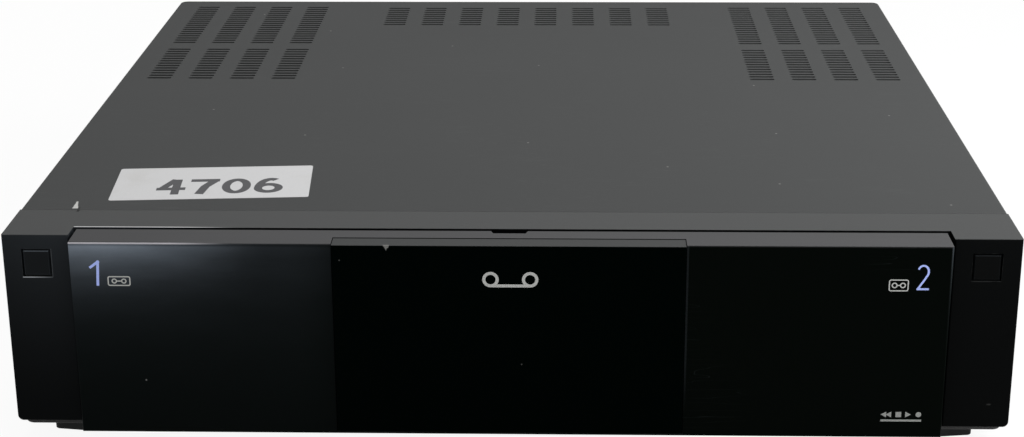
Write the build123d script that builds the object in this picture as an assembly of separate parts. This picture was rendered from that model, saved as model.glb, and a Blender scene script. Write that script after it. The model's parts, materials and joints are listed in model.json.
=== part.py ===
from build123d import *
from math import cos, pi, radians, sin
import os

# A tape player with two decks behind one full-width door. Millimetres: X to the
# right, Y to the rear, Z up from the surface that it stands on. The origin lies
# on that surface, under the middle of the whole player.

# Cabinet
cabinet_width = 430.0
case_depth = 423.7  # from the cheeks' face to the cover's rear edge
bezel_top_z = 95.5
cheek_height = 86.3
foot_height = 6.4
bezel_depth = 32.45
cheek_width = 28.5
moulding_wall = 2.5
bezel_corner_radius = 2.5
seat_gap = 0.2  # between fixed pieces that fit into each other
running_gap = 0.05  # round every shaft that turns in a bore
loose_gap = 0.3  # between a moving piece and what it passes

# Top cover
cover_sheet = 1.0
cover_rise = 0.1  # above the bezel's top
cover_side_step = 0.05  # inside the bezel's sides
cover_bend_radius = 1.2
cover_rear_corner_radius = 4.5
cover_rear_lip = 7.0
vent_slot_length = 13.3
vent_slot_width = 2.7
vent_slot_pitch = 5.0
vent_column_pitch = 22.3
side_vent_columns = 4
side_vent_inset = 19.9  # from the cabinet's side to the outer column
side_vent_front_y = 246.8  # first slot, from the cheeks' face, as the next two are
side_vent_rear_y = 322.3
middle_vent_y = 365.4
side_vent_front_slots = 13
side_vent_rear_slots = 18
middle_vent_columns = 8
middle_vent_slots = 9

# Bottom tray and feet
tray_sheet = 1.2
tray_wall_top_z = 34.0
tray_front_set_back = 3.4
tray_side_step = 2.0
tray_edge_radius = 0.5
tray_corner_radius = 4.2
foot_width = 45.0
foot_side_margin = 13.0
foot_front_y = 9.3
foot_rear_margin = 24.0
foot_slant_length = 14.0
foot_slant_fall = 2.0
foot_corner_radius = 2.0
foot_edge_chamfer = 0.4

# Front door and its window
door_proud = 8.4
door_side_gap = 1.8
door_rear_gap = 1.7
door_top_drop = 0.35
door_bottom_drop = 1.1
door_depth = 16.9
door_wall = 3.5
door_side_wall = 3.0
door_edge_radius = 0.6
hinge_height = 15.2
hinge_set_back = 1.9
hinge_pin_radius = 1.2
hinge_pin_grip = 3.0
window_width = 148.0
window_proud = 0.9
window_thickness = 3.0
window_wrap = 8.7
window_return_thickness = 2.0
window_edge_radius = 0.5
window_bottom_rise = 1.2
window_joint = 0.3
window_drop = 0.25  # of its return below the door's top
window_frame = 5.0
notch_width = 15.6
notch_depth = 2.8
notch_slant = 0.9
magnet_width = 14.0
magnet_height = 3.0
magnet_inset = 16.9  # from the door's side to the magnet's middle
magnet_drop = 2.2

# Square buttons in the cheeks
button_inset = 14.2  # from the recess's side to the button's middle
button_drop = 12.6
button_size = 11.8
button_hole_gap = 0.35
button_bevel = 0.7
button_depth = 7.0
button_flange = 0.9
button_flange_thickness = 1.2
button_stem_radius = 2.4
button_travel = 1.6
side_board_width = 16.0
side_board_height = 34.0
side_board_set_back = 19.0
side_board_rise = 6.0
side_post_radius = 2.2
side_post_drops = (12.0, 24.0)

# Panel behind the door
panel_set_back = 14.0
panel_thickness = 2.5
sill_thickness = 2.5
strip_lip = 2.0
strip_lip_drop = 3.0
board_thickness = 1.6
front_board_gap = 9.0
front_board_side_gap = 4.5
front_board_bottom_z = 14.5
front_board_top_z = 57.0
board_post_radius = 2.6
board_post_margin = 5.0

# Keys, dial, display and sockets on that panel
controls_inset = 58.5  # from the recess's side to the middle of a row of keys
key_row_z = 49.0
key_count = 4
key_pitch = 20.0
key_width = 16.0
key_height = 8.0
key_proud = 2.5
key_gap = 0.3
key_flange = 1.0
key_flange_thickness = 1.2
key_stem_radius = 2.0
key_edge_radius = 0.8
key_travel = 1.2
switch_size = 6.0
switch_height = 3.4
switch_plunger_radius = 1.6
switch_plunger_height = 0.8
lower_row_z = 28.0
dial_radius = 13.5
dial_thickness = 4.6
dial_gap = 0.5
dial_ribs = 36
dial_rib_depth = 0.5
dial_dimple_radius = 3.4
dial_dimple_offset = 8.0
dial_shaft_radius = 3.0
dial_shaft_end_gap = 1.0
encoder_size = 13.0
encoder_height = 6.0
display_width = 100.0
display_height = 26.0
display_z = 38.0
display_frame = 2.0
display_gap = 0.5
jack_count = 3
jack_pitch = 18.0
jack_radius = 4.15
jack_bore_radius = 1.6
jack_length = 8.0
front_jack_proud = 4.8
jack_body = 11.0
jack_rows = 2
jack_row_pitch = 15.0

# Both tape decks
slot_top_z = 87.5
flap_axle_z = 90.0
flap_axle_radius = 1.2
flap_thickness = 1.4
flap_overlap = 0.8
flap_clearance = 1.5
axle_lug_thickness = 2.0
cassette_gap = 0.6
holder_sheet = 1.0
holder_rail = 9.0
holder_stop = 4.0
holder_over_plate = 1.2
guide_gap = 0.5
guide_sheet = 1.2
guide_pin_radius = 2.0
guide_pin_gap = 0.1
guide_pin_drop = 8.0
guide_margin = 14.0
guide_top_rise = 2.0
plate_thickness = 1.6
plate_side_margin = 12.0
plate_rear_margin = 10.0
post_radius = 1.5
post_share = 0.5  # of the spindle's height that its post reaches
table_share = 1 / 3  # of the spindle's height that is the reel's table
spindle_fins = 3
fin_reach = 1.8
fin_thickness = 1.5
pillar_radius = 4.0
pillar_margin = 9.0
drum_set_back = 12.0
drum_split = 0.3
drum_shaft_radius = 2.5
drum_tilt = 6.0
drum_edge_radius = 1.4
head_window_width = 5.0
head_window_depth = 1.0
head_window_height = 2.0
gear_teeth = 28
gear_tooth_depth = 1.4
gear_thickness = 3.0
bearing_wall = 1.4
bearing_height = 4.5
capstan_set_back = 5.0
flywheel_thickness = 4.0
flywheel_gap = 2.0
pinch_swing = 15.0
motor_margin = 1.0
arm_rise = 3.0
arm_thickness = 2.0
arm_width = 6.0
arm_boss_radius = 4.0
pivot_height = 9.0
axle_end = 1.0  # what an axle or a post's bore has past the piece on it

# Full-size deck, on the right
vhs_inset = 102.5  # from the recess's right side to the deck's middle
vhs_cassette_width = 187.0
vhs_cassette_depth = 103.0
vhs_cassette_height = 25.0
vhs_drop = 22.0
vhs_reel_spacing = 90.0
vhs_reel_radius = 17.0
vhs_spindle_radius = 8.0
vhs_spindle_height = 12.0
vhs_drum_radius = 31.0
vhs_drum_base_height = 18.0
vhs_drum_height = 19.0
vhs_capstan_radius = 1.5
vhs_capstan_offset = 18.0
vhs_capstan_height = 28.0
vhs_flywheel_radius = 22.0
vhs_roller_radius = 8.0
vhs_roller_height = 16.0
vhs_arm_length = 24.0
vhs_gear_radius = 16.0
vhs_gear_inset = 45.0
vhs_motor_radius = 9.0
vhs_motor_length = 28.0

# Small camcorder-cassette deck, on the left
mini_inset = 56.5  # from the recess's left side to the deck's middle
mini_cassette_width = 95.0
mini_cassette_depth = 62.5
mini_cassette_height = 15.0
mini_drop = 17.0
mini_reel_spacing = 38.0
mini_reel_radius = 11.0
mini_spindle_radius = 4.5
mini_spindle_height = 8.0
mini_drum_radius = 20.0
mini_drum_base_height = 10.0
mini_drum_height = 12.0
mini_capstan_radius = 1.0
mini_capstan_offset = 10.0
mini_capstan_height = 18.0
mini_flywheel_radius = 14.0
mini_roller_radius = 4.5
mini_roller_height = 10.0
mini_arm_length = 14.0
mini_gear_radius = 10.0
mini_gear_inset = 27.0
mini_motor_radius = 6.0
mini_motor_length = 22.0

# Rear panel, boards and sockets
rear_set_in = 9.0
rear_sheet = 1.0
board_standoff = 6.4
standoff_radius = 3.0
standoff_margin = 7.0
main_board_side_margin = 13.0
main_board_depth = 136.0
power_board_width = 70.0
power_board_depth = 120.0
power_board_side_margin = 88.0
board_gap = 23.0
board_rear_gap = 3.0
scart_count = 2
scart_inset = 195.0  # from the cabinet's side, as the insets below are
scart_pitch = 62.0
scart_width = 55.0
scart_height = 17.0
scart_body_depth = 14.0
scart_proud = 6.0
scart_pocket_width = 47.0
scart_pocket_height = 12.0
scart_pocket_depth = 11.0
scart_tongue_width = 40.0
scart_tongue_height = 3.2
rear_jack_inset = 79.0
tuner_inset = 37.0
tuner_width = 34.0
tuner_depth = 58.0
tuner_height = 26.0
aerial_radius = 4.8
aerial_bore_radius = 1.9
aerial_length = 8.0
aerial_pitch = 17.0
inlet_inset = 50.0
inlet_z = 24.0
inlet_width = 30.0
inlet_height = 20.0
inlet_depth = 16.0
inlet_proud = 2.0
inlet_pocket_width = 15.0
inlet_pocket_height = 8.0
inlet_pocket_depth = 12.0
inlet_pin_radius = 1.2
inlet_pin_pitch = 8.6
transformer_inset = 55.0
transformer_front_y = 268.0
transformer_width = 62.0
transformer_depth = 52.0
transformer_height = 50.0
winding_height = 34.0
winding_overhang = 9.0
rear_vent_count = 12
rear_vent_inset = 95.0
rear_vent_pitch = 6.0
rear_vent_width = 2.5
rear_vent_height = 24.0
rear_vent_z = 62.0

# Large parts on the boards: X from the board's middle, distance from its rear
# edge to the part's middle, width, depth and height
servo_chip = (-82.6, 102.0, 26.0, 26.0, 3.0)
video_chip = (-28.3, 95.2, 20.0, 34.0, 4.0)
timer_chip = (23.6, 102.0, 30.0, 14.0, 4.0)
sound_chip = (70.8, 98.0, 18.0, 18.0, 3.0)
signal_coil = (-70.8, 54.4, 10.0, 10.0, 14.0)
head_amplifier_can = (28.3, 54.4, 34.0, 16.0, 8.0)
left_capacitor = (-14.0, 30.0, 16.0, 16.0, 26.0)
right_capacitor = (15.4, 30.0, 16.0, 16.0, 26.0)
heat_sink = (0.0, 72.0, 8.0, 60.0, 34.0)

# Case screws
screw_radius = 1.5
screw_head_radius = 3.2
screw_head_thickness = 1.2
cross_length = 3.2
cross_width = 0.5
screw_length = 6.0
screw_hole_gap = 0.2
cover_screw_rise = 13.0
cover_screw_front_y = 90.0
cover_screw_rear_y = 380.0
panel_screw_inset = 12.0
panel_screw_z = 20.0
tab_width = 12.0
tab_height = 22.0

# Paper label on the cover
label_width = 88.5
label_depth = 45.0
label_thickness = 0.15
label_corner_radius = 1.4
label_inset = 78.6
label_y = 69.8
label_turn = 4.1

# Places that follow from these sizes
half_width = cabinet_width / 2
face_y = (door_proud + window_proud - case_depth) / 2
rear_edge_y = face_y + case_depth
bezel_rear_y = face_y + bezel_depth
cheek_bottom_z = bezel_top_z - cheek_height
door_face_y = face_y - door_proud
door_rear_y = door_face_y + door_depth
recess_rear_y = door_rear_y + door_rear_gap
window_face_y = door_face_y - window_proud
door_top_z = bezel_top_z - door_top_drop
window_top_z = door_top_z - window_drop
door_bottom_z = cheek_bottom_z - door_bottom_drop
panel_front_y = face_y + panel_set_back
panel_rear_y = panel_front_y + panel_thickness
sill_top_z = cheek_bottom_z + sill_thickness
strip_bottom_z = bezel_top_z - moulding_wall
board_front_y = panel_rear_y + front_board_gap
switch_front_y = board_front_y - switch_height - switch_plunger_height
button_z = bezel_top_z - button_drop
side_board_y = face_y + side_board_set_back
side_switch_y = side_board_y - switch_height - switch_plunger_height
tray_floor_z = foot_height + tray_sheet
board_bottom_z = tray_floor_z + board_standoff
board_top_z = board_bottom_z + board_thickness
cover_top_z = bezel_top_z + cover_rise
cover_half = half_width - cover_side_step
cover_inner_z = cover_top_z - cover_sheet
cover_bottom_z = cheek_bottom_z + seat_gap
tray_half = half_width - tray_side_step
tray_inner_half = tray_half - tray_sheet
rear_panel_rear_y = rear_edge_y - rear_set_in
rear_panel_y = rear_panel_rear_y - rear_sheet
board_rear_y = rear_panel_y - board_rear_gap
recess_half = half_width - cheek_width
door_half = recess_half - door_side_gap
window_half = window_width / 2
button_x = recess_half + button_inset
hinge_y = face_y + hinge_set_back
flap_axle_y = panel_rear_y + loose_gap + flap_axle_radius
scart_z = board_top_z + scart_height / 2
controls_x = recess_half - controls_inset
vhs_x = recess_half - vhs_inset
mini_x = mini_inset - recess_half
magnet_x = door_half - magnet_inset
front_board_width = 2 * (recess_half - front_board_side_gap)
power_board_x = power_board_side_margin + power_board_width / 2 - half_width
main_board_left = power_board_x + power_board_width / 2 + board_gap
main_board_right = half_width - main_board_side_margin
main_board_x = (main_board_left + main_board_right) / 2
main_board_width = main_board_right - main_board_left
scart_x = half_width - scart_inset
rear_jack_x = half_width - rear_jack_inset
tuner_x = half_width - tuner_inset
inlet_x = inlet_inset - half_width
transformer_x = transformer_inset - half_width
rear_vent_x = rear_vent_inset - half_width
panel_screw_x = half_width - panel_screw_inset
label_x = label_inset - half_width


def block(x0, x1, y0, y1, z0, z1):
    """A box between two opposite corners."""
    return Pos((x0 + x1) / 2, (y0 + y1) / 2, (z0 + z1) / 2) * Box(x1 - x0, y1 - y0, z1 - z0)


def bar(x, half_x, y0, y1, z, half_z):
    """A square bar along Y, centred on X and Z."""
    return block(x - half_x, x + half_x, y0, y1, z - half_z, z + half_z)


def rod_x(y, z, x0, x1, radius):
    """A round bar along X."""
    return Pos((x0 + x1) / 2, y, z) * Rot(0, 90, 0) * Cylinder(radius, x1 - x0)


def rod_y(x, z, y0, y1, radius):
    """A round bar along Y."""
    return Pos(x, (y0 + y1) / 2, z) * Rot(90, 0, 0) * Cylinder(radius, y1 - y0)


def rod_z(x, y, z0, z1, radius):
    """A round bar along Z."""
    return Pos(x, y, (z0 + z1) / 2) * Cylinder(radius, z1 - z0)


def bore_z(x, y, z0, z1, radius):
    """The bore of a shaft along Z, with its running gap, cut past both ends."""
    return rod_z(x, y, z0 - 1, z1 + 1, radius + running_gap)


class Deck:
    """The sizes and places of one tape deck, worked out from its cassette."""

    def __init__(self, name, x, cassette, drop, reels, drum, capstan, roller, gear, motor):
        self.name = name
        self.x = x
        cassette_width, cassette_depth, cassette_height = cassette
        self.drop = drop
        self.reel_spacing, self.reel_radius, self.spindle_radius, self.spindle_height = reels
        self.drum_radius, self.drum_base_height, self.drum_height = drum
        self.capstan_radius, self.capstan_height, self.flywheel_radius, capstan_offset = capstan
        self.roller_radius, self.roller_height, self.arm_length = roller
        self.gear_radius, gear_inset = gear
        self.motor_radius, self.motor_length = motor
        # The bay is the cassette's space, and the mouth in the panel is as large.
        self.bay_half = cassette_width / 2 + cassette_gap
        self.bay_top_z = slot_top_z - holder_sheet
        self.bay_bottom_z = self.bay_top_z - cassette_height - 2 * cassette_gap
        self.flap_half = self.bay_half + flap_overlap
        self.flap_bottom_z = self.bay_bottom_z - flap_overlap
        self.holder_half = self.bay_half + holder_sheet
        self.holder_bottom_z = self.bay_bottom_z - holder_sheet
        self.holder_front_y = flap_axle_y + flap_axle_z - self.flap_bottom_z + flap_clearance
        self.holder_rear_y = self.holder_front_y + cassette_depth + holder_stop
        self.reel_y = self.holder_front_y + cassette_depth / 2
        self.drum_y = self.holder_rear_y + drum_set_back + self.drum_radius
        self.plate_top_z = self.holder_bottom_z - drop - holder_over_plate
        self.plate_bottom_z = self.plate_top_z - plate_thickness
        self.plate_half = self.holder_half + plate_side_margin
        self.plate_front_y = self.holder_front_y
        self.plate_rear_y = self.drum_y + self.drum_radius + plate_rear_margin
        self.pin_z = slot_top_z - guide_pin_drop
        self.guide_front_y = self.holder_front_y + guide_margin
        self.guide_rear_y = self.holder_rear_y - guide_margin
        self.capstan_x = x + self.drum_radius + capstan_offset
        self.capstan_y = self.drum_y - capstan_set_back
        # The pinch arm turns about a post behind the place where its roller meets the capstan.
        self.pivot_x = self.capstan_x + self.capstan_radius + self.roller_radius + loose_gap
        self.pivot_y = self.capstan_y + self.arm_length
        self.roller_x = self.pivot_x + self.arm_length * sin(radians(pinch_swing))
        self.roller_y = self.pivot_y - self.arm_length * cos(radians(pinch_swing))
        self.gear_x = x - self.plate_half + gear_inset
        self.gear_y = self.drum_y
        self.motor_x = x - self.plate_half + self.motor_radius + motor_margin


vhs = Deck(
    "vhs",
    vhs_x,
    (vhs_cassette_width, vhs_cassette_depth, vhs_cassette_height),
    vhs_drop,
    (vhs_reel_spacing, vhs_reel_radius, vhs_spindle_radius, vhs_spindle_height),
    (vhs_drum_radius, vhs_drum_base_height, vhs_drum_height),
    (vhs_capstan_radius, vhs_capstan_height, vhs_flywheel_radius, vhs_capstan_offset),
    (vhs_roller_radius, vhs_roller_height, vhs_arm_length),
    (vhs_gear_radius, vhs_gear_inset),
    (vhs_motor_radius, vhs_motor_length),
)
mini = Deck(
    "mini",
    mini_x,
    (mini_cassette_width, mini_cassette_depth, mini_cassette_height),
    mini_drop,
    (mini_reel_spacing, mini_reel_radius, mini_spindle_radius, mini_spindle_height),
    (mini_drum_radius, mini_drum_base_height, mini_drum_height),
    (mini_capstan_radius, mini_capstan_height, mini_flywheel_radius, mini_capstan_offset),
    (mini_roller_radius, mini_roller_height, mini_arm_length),
    (mini_gear_radius, mini_gear_inset),
    (mini_motor_radius, mini_motor_length),
)
decks = (mini, vhs)


def key_places(deck):
    """The middles of one deck's keys, below its mouth."""
    middle = controls_x if deck is vhs else -controls_x
    return [middle + (i - (key_count - 1) / 2) * key_pitch for i in range(key_count)]


def row_places(middle, count, pitch):
    """Evenly spaced places about a middle."""
    return [middle + (i - (count - 1) / 2) * pitch for i in range(count)]


def ribbed_outline(tip_radius, root_radius, count):
    """A round outline with evenly spaced flat-topped ribs or teeth."""
    step = 2 * pi / count
    points = []
    for i in range(count):
        for share, radius in ((0.0, root_radius), (0.25, root_radius), (0.5, tip_radius), (0.75, tip_radius)):
            angle = (i + share) * step
            points.append((radius * cos(angle), radius * sin(angle)))
    return make_face(Polyline(*points, close=True))


# Cabinet


def vent_rows(first, count):
    """Y of one block's slots, from the first one's distance behind the cheeks' face."""
    return [face_y + first + i * vent_slot_pitch for i in range(count)]


def vent_places():
    """The middles of all the cover's vent slots."""
    places = []
    for side in (-1, 1):
        for column in range(side_vent_columns):
            x = side * (half_width - side_vent_inset - column * vent_column_pitch)
            places += [(x, y) for y in vent_rows(side_vent_front_y, side_vent_front_slots)]
            places += [(x, y) for y in vent_rows(side_vent_rear_y, side_vent_rear_slots)]
    for x in row_places(0, middle_vent_columns, vent_column_pitch):
        places += [(x, y) for y in vent_rows(middle_vent_y, middle_vent_slots)]
    return places


def cover_body(inset, corner_radius, bend_radius):
    """The cover's outside, or its inside when inset by the sheet."""
    half, rear, top = cover_half - inset, rear_edge_y - inset, cover_top_z - inset
    front = bezel_rear_y if inset == 0 else bezel_rear_y - 1
    bottom = cover_bottom_z if inset == 0 else cover_bottom_z - 1
    body = block(-half, half, front, rear, bottom, top)
    body = fillet(body.edges().filter_by(Axis.Z).group_by(Axis.Y)[-1], corner_radius)
    top_edges = body.faces().sort_by(Axis.Z)[-1].edges()
    return fillet([edge for edge in top_edges if edge.center().Y > front + 1], bend_radius)


def cover_screw_places():
    """Y and Z of the screws in each side of the cover."""
    z = cover_bottom_z + cover_screw_rise
    return [(face_y + cover_screw_front_y, z), (face_y + cover_screw_rear_y, z)]


def make_top_cover():
    """Bent sheet over the top and both sides, with a lip and rounded corners at the rear."""
    cover = cover_body(0, cover_rear_corner_radius, cover_bend_radius)
    cover -= cover_body(cover_sheet, cover_rear_corner_radius - cover_sheet, cover_bend_radius - cover_sheet)
    opening_half = cover_half - cover_rear_corner_radius
    cover -= block(
        -opening_half, opening_half, rear_edge_y - cover_sheet, rear_edge_y + 1,
        cover_bottom_z - 1, cover_top_z - cover_rear_lip,
    )
    slot = extrude(SlotOverall(vent_slot_length, vent_slot_width), amount=3 * cover_sheet)
    cover = cover.cut(*[Pos(x, y, cover_inner_z - cover_sheet) * slot for x, y in vent_places()])
    for y, z in cover_screw_places():
        cover -= rod_x(y, z, -half_width, half_width, screw_radius + screw_hole_gap)
    return cover


def make_front_bezel():
    """One moulding: two hollow cheeks, the strip above the door and the sill behind its foot."""
    cheek = block(recess_half, half_width, face_y, bezel_rear_y, cheek_bottom_z, bezel_top_z)
    lower_edges = cheek.edges().filter_by(Axis.Y).group_by(Axis.Z)[0]
    cheek = fillet(lower_edges.sort_by(Axis.X)[-1], bezel_corner_radius)
    cheek = fillet(cheek.faces().sort_by(Axis.Y)[0].edges(), door_edge_radius)
    cheek -= block(
        recess_half + moulding_wall, half_width - moulding_wall, face_y + moulding_wall, bezel_rear_y + 1,
        cheek_bottom_z + moulding_wall, bezel_top_z - moulding_wall,
    )
    hole_half = button_size / 2 + button_hole_gap
    cheek -= bar(button_x, hole_half, face_y - 1, face_y + moulding_wall + 1, button_z, hole_half)
    for drop in side_post_drops:
        cheek += rod_y(button_x, button_z - drop, face_y + moulding_wall, side_board_y, side_post_radius)
    pin_end = recess_half + moulding_wall + hinge_pin_grip
    cheek -= rod_x(hinge_y, hinge_height, recess_half - 1, pin_end, hinge_pin_radius + running_gap)
    strip = block(-recess_half, recess_half, recess_rear_y, bezel_rear_y, strip_bottom_z, bezel_top_z)
    strip += block(
        -recess_half, recess_half, recess_rear_y, recess_rear_y + strip_lip,
        strip_bottom_z - strip_lip_drop, strip_bottom_z,
    )
    sill = block(-recess_half, recess_half, panel_front_y, bezel_rear_y, cheek_bottom_z, sill_top_z)
    return cheek + mirror(cheek, Plane.YZ) + strip + sill


def standoff_places():
    """Where the two boards rest on the tray."""
    places = []
    for x, width, depth in (
        (main_board_x, main_board_width, main_board_depth),
        (power_board_x, power_board_width, power_board_depth),
    ):
        for side in (-1, 1):
            across = x + side * (width / 2 - standoff_margin)
            places.append((across, board_rear_y - standoff_margin))
            places.append((across, board_rear_y - depth + standoff_margin))
    return places


def make_bottom_tray():
    """Pressed sheet tray: floor, low side walls, and a rim that meets the cheeks."""
    front_y = face_y + tray_front_set_back
    tray = block(-tray_half, tray_half, front_y, rear_panel_rear_y, foot_height, tray_wall_top_z)
    tray = fillet(tray.edges().filter_by(Axis.Z).group_by(Axis.Y)[0], tray_corner_radius)
    bottom_edges = tray.faces().sort_by(Axis.Z)[0].edges()
    tray = fillet([edge for edge in bottom_edges if edge.center().Y < rear_panel_y], tray_edge_radius)
    tray -= block(
        -tray_inner_half, tray_inner_half, front_y + tray_sheet, rear_panel_rear_y + 1,
        tray_floor_z, tray_wall_top_z + 1,
    )
    tray -= block(-recess_half, recess_half, front_y - 1, panel_front_y, foot_height - 1, tray_wall_top_z + 1)
    tray -= block(-half_width, half_width, front_y - 1, bezel_rear_y, cheek_bottom_z, tray_wall_top_z + 1)
    for x, y in standoff_places():
        tray += rod_z(x, y, tray_floor_z, board_bottom_z, standoff_radius)
    screw_hole = screw_radius + running_gap
    for side in (-1, 1):
        x = side * panel_screw_x
        tray += block(
            x - tab_width / 2, x + tab_width / 2, rear_panel_y - tray_sheet, rear_panel_y,
            tray_floor_z, tray_floor_z + tab_height,
        )
        tray -= rod_y(x, panel_screw_z, rear_panel_y - 2 * tray_sheet, rear_panel_y + 1, screw_hole)
    for y, z in cover_screw_places():
        tray -= rod_x(y, z, -half_width, half_width, screw_hole)
    return tray


def foot_outline():
    """A square whose front and rear sides fall back a little towards its corners."""
    half = foot_width / 2
    right_side = [
        (half - foot_slant_length, -half), (half, foot_slant_fall - half),
        (half, half - foot_slant_fall), (half - foot_slant_length, half),
    ]
    left_side = [(-x, -y) for x, y in right_side]
    outline = make_face(Polyline(*right_side, *left_side, close=True))
    corners = [corner for corner in outline.vertices() if abs(corner.X) > half - 1]
    return fillet(corners, foot_corner_radius)


def make_feet():
    """Four plastic feet under the tray's corners, as separate solids."""
    foot = extrude(foot_outline(), amount=foot_height)
    foot = chamfer(foot.faces().sort_by(Axis.Z)[0].edges(), foot_edge_chamfer)
    x = half_width - foot_side_margin - foot_width / 2
    front = face_y + foot_front_y + foot_width / 2
    rear = rear_edge_y - foot_rear_margin - foot_width / 2
    return Compound([Pos(side * x, y, 0) * foot for side in (-1, 1) for y in (front, rear)])


def make_rear_panel():
    """Flat sheet with the sockets' cut-outs and a row of vents."""
    half = tray_inner_half - seat_gap
    panel = block(-half, half, rear_panel_y, rear_panel_rear_y, tray_floor_z, cover_inner_z - seat_gap)
    low, high = rear_panel_y - 1, rear_panel_rear_y + 1
    for x in scart_places():
        panel -= bar(x, scart_width / 2 + seat_gap, low, high, scart_z, scart_height / 2 + seat_gap)
    for x, z in rear_jack_places():
        panel -= rod_y(x, z, low, high, jack_radius + seat_gap)
    for x in row_places(tuner_x, 2, aerial_pitch):
        panel -= rod_y(x, board_top_z + tuner_height / 2, low, high, aerial_radius + seat_gap)
    panel -= bar(inlet_x, inlet_width / 2 + seat_gap, low, high, inlet_z, inlet_height / 2 + seat_gap)
    for x in row_places(rear_vent_x, rear_vent_count, rear_vent_pitch):
        panel -= bar(x, rear_vent_width / 2, low, high, rear_vent_z, rear_vent_height / 2)
    for side in (-1, 1):
        panel -= rod_y(side * panel_screw_x, panel_screw_z, low, high, screw_radius + screw_hole_gap)
    return panel


def make_case_screws():
    """Round-headed screws: two in each side of the cover and two in the rear panel."""
    screw = Pos(0, 0, screw_head_thickness / 2) * Cylinder(screw_head_radius, screw_head_thickness)
    screw = fillet(screw.faces().sort_by(Axis.Z)[-1].edges(), screw_head_thickness / 2)
    screw += Pos(0, 0, -screw_length / 2) * Cylinder(screw_radius, screw_length)
    cross = Box(cross_length, cross_width, screw_head_thickness)
    screw -= Pos(0, 0, screw_head_thickness) * (cross + Rot(0, 0, 90) * cross)
    screws = []
    for y, z in cover_screw_places():
        screws.append(Pos(cover_half, y, z) * Rot(0, 90, 0) * screw)
        screws.append(Pos(-cover_half, y, z) * Rot(0, -90, 0) * screw)
    for side in (-1, 1):
        screws.append(Pos(side * panel_screw_x, rear_panel_rear_y, panel_screw_z) * Rot(-90, 0, 0) * screw)
    return Compound(screws)


def make_paper_label():
    """A thin paper label stuck a little askew on the cover."""
    outline = RectangleRounded(label_width, label_depth, label_corner_radius)
    label = Rot(0, 0, label_turn) * extrude(outline, amount=label_thickness)
    return Pos(label_x, face_y + label_y, cover_top_z) * label


# Door


def window_shape(joint):
    """The window's plate and its return over the door's top edge, grown by the joint."""
    half = window_half + joint
    bottom = door_bottom_z + window_bottom_rise - joint
    rear = window_face_y + window_thickness + joint
    top = window_top_z if joint == 0 else door_top_z + 1
    plate = block(-half, half, window_face_y - joint, rear, bottom, top)
    wrap = block(
        -half, half, window_face_y, window_face_y + window_wrap + joint,
        window_top_z - window_return_thickness - joint, top,
    )
    return plate + wrap


def make_front_door():
    """Full-width door: a front wall with a top and two side flanges, open at the rear."""
    door = block(-door_half, door_half, door_face_y, door_rear_y, door_bottom_z, door_top_z)
    door = fillet(door.faces().sort_by(Axis.Y)[0].edges(), door_edge_radius)
    door -= block(
        -door_half + door_side_wall, door_half - door_side_wall, door_face_y + door_wall, door_rear_y + 1,
        door_bottom_z - 1, door_top_z - door_wall,
    )
    door -= window_shape(window_joint)
    view_half = window_half - window_frame
    door -= block(
        -view_half, view_half, door_face_y, door_face_y + door_wall + 1,
        door_bottom_z + window_frame, door_top_z - door_wall - window_frame,
    )
    half = notch_width / 2
    notch_y = door_rear_y - notch_depth
    right_side = [(half, door_rear_y + 1), (half, door_rear_y), (half - notch_slant, notch_y)]
    left_side = [(-x, y) for x, y in reversed(right_side)]
    notch = Polyline(*right_side, *left_side, close=True)
    door -= extrude(Pos(0, 0, door_top_z - door_wall - 1) * make_face(notch), amount=door_wall + 2)
    door -= rod_x(hinge_y, hinge_height, -half_width, half_width, hinge_pin_radius + running_gap)
    return door


def make_door_window():
    """Smoked plastic window that wraps over the door's top edge."""
    window = window_shape(0)
    return fillet(window.faces().sort_by(Axis.Y)[0].edges(), window_edge_radius)


def make_door_hinge_pins():
    """Two pins from the cheeks' inner walls into the door's side flanges."""
    pin = rod_x(
        hinge_y, hinge_height, door_half - door_side_wall, recess_half + moulding_wall + hinge_pin_grip,
        hinge_pin_radius,
    )
    return Compound([pin, mirror(pin, Plane.YZ)])


def make_door_magnets():
    """Two flat magnets on the strip's lip, which hold the closed door."""
    z = bezel_top_z - magnet_drop - magnet_height / 2
    front = door_rear_y + loose_gap
    places = (-magnet_x, magnet_x)
    return Compound([bar(x, magnet_width / 2, front, recess_rear_y, z, magnet_height / 2) for x in places])


# Cheek buttons


def make_cheek_button(x):
    """Square bevelled cap with a flange behind the wall and a stem to its switch."""
    half = button_size / 2
    cap = bar(x, half, face_y, face_y + button_depth, button_z, half)
    cap = chamfer(cap.faces().sort_by(Axis.Y)[0].edges(), button_bevel)
    flange_y = face_y + moulding_wall + loose_gap
    half += button_flange
    cap += bar(x, half, flange_y, flange_y + button_flange_thickness, button_z, half)
    stem_end = side_switch_y - button_travel - seat_gap
    return cap + rod_y(x, button_z, face_y + button_depth, stem_end, button_stem_radius)


def make_side_boards():
    """A small circuit board on the posts behind each cheek button."""
    half_wide, half_high = side_board_width / 2, side_board_height / 2
    z = button_z + side_board_rise - half_high
    rear = side_board_y + board_thickness
    places = (-button_x, button_x)
    return Compound([bar(x, half_wide, side_board_y, rear, z, half_high) for x in places])


def push_switch(x, z, board_y):
    """A square push switch on the front of a board."""
    half = switch_size / 2
    front = board_y - switch_height
    body = bar(x, half, front, board_y, z, half)
    return body + rod_y(x, z, front - switch_plunger_height, front, switch_plunger_radius)


def make_push_switches():
    """One switch behind each key and each cheek button."""
    switches = [push_switch(x, key_row_z, board_front_y) for deck in decks for x in key_places(deck)]
    switches += [push_switch(x, button_z, side_board_y) for x in (-button_x, button_x)]
    return Compound(switches)


# Panel behind the door


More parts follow.
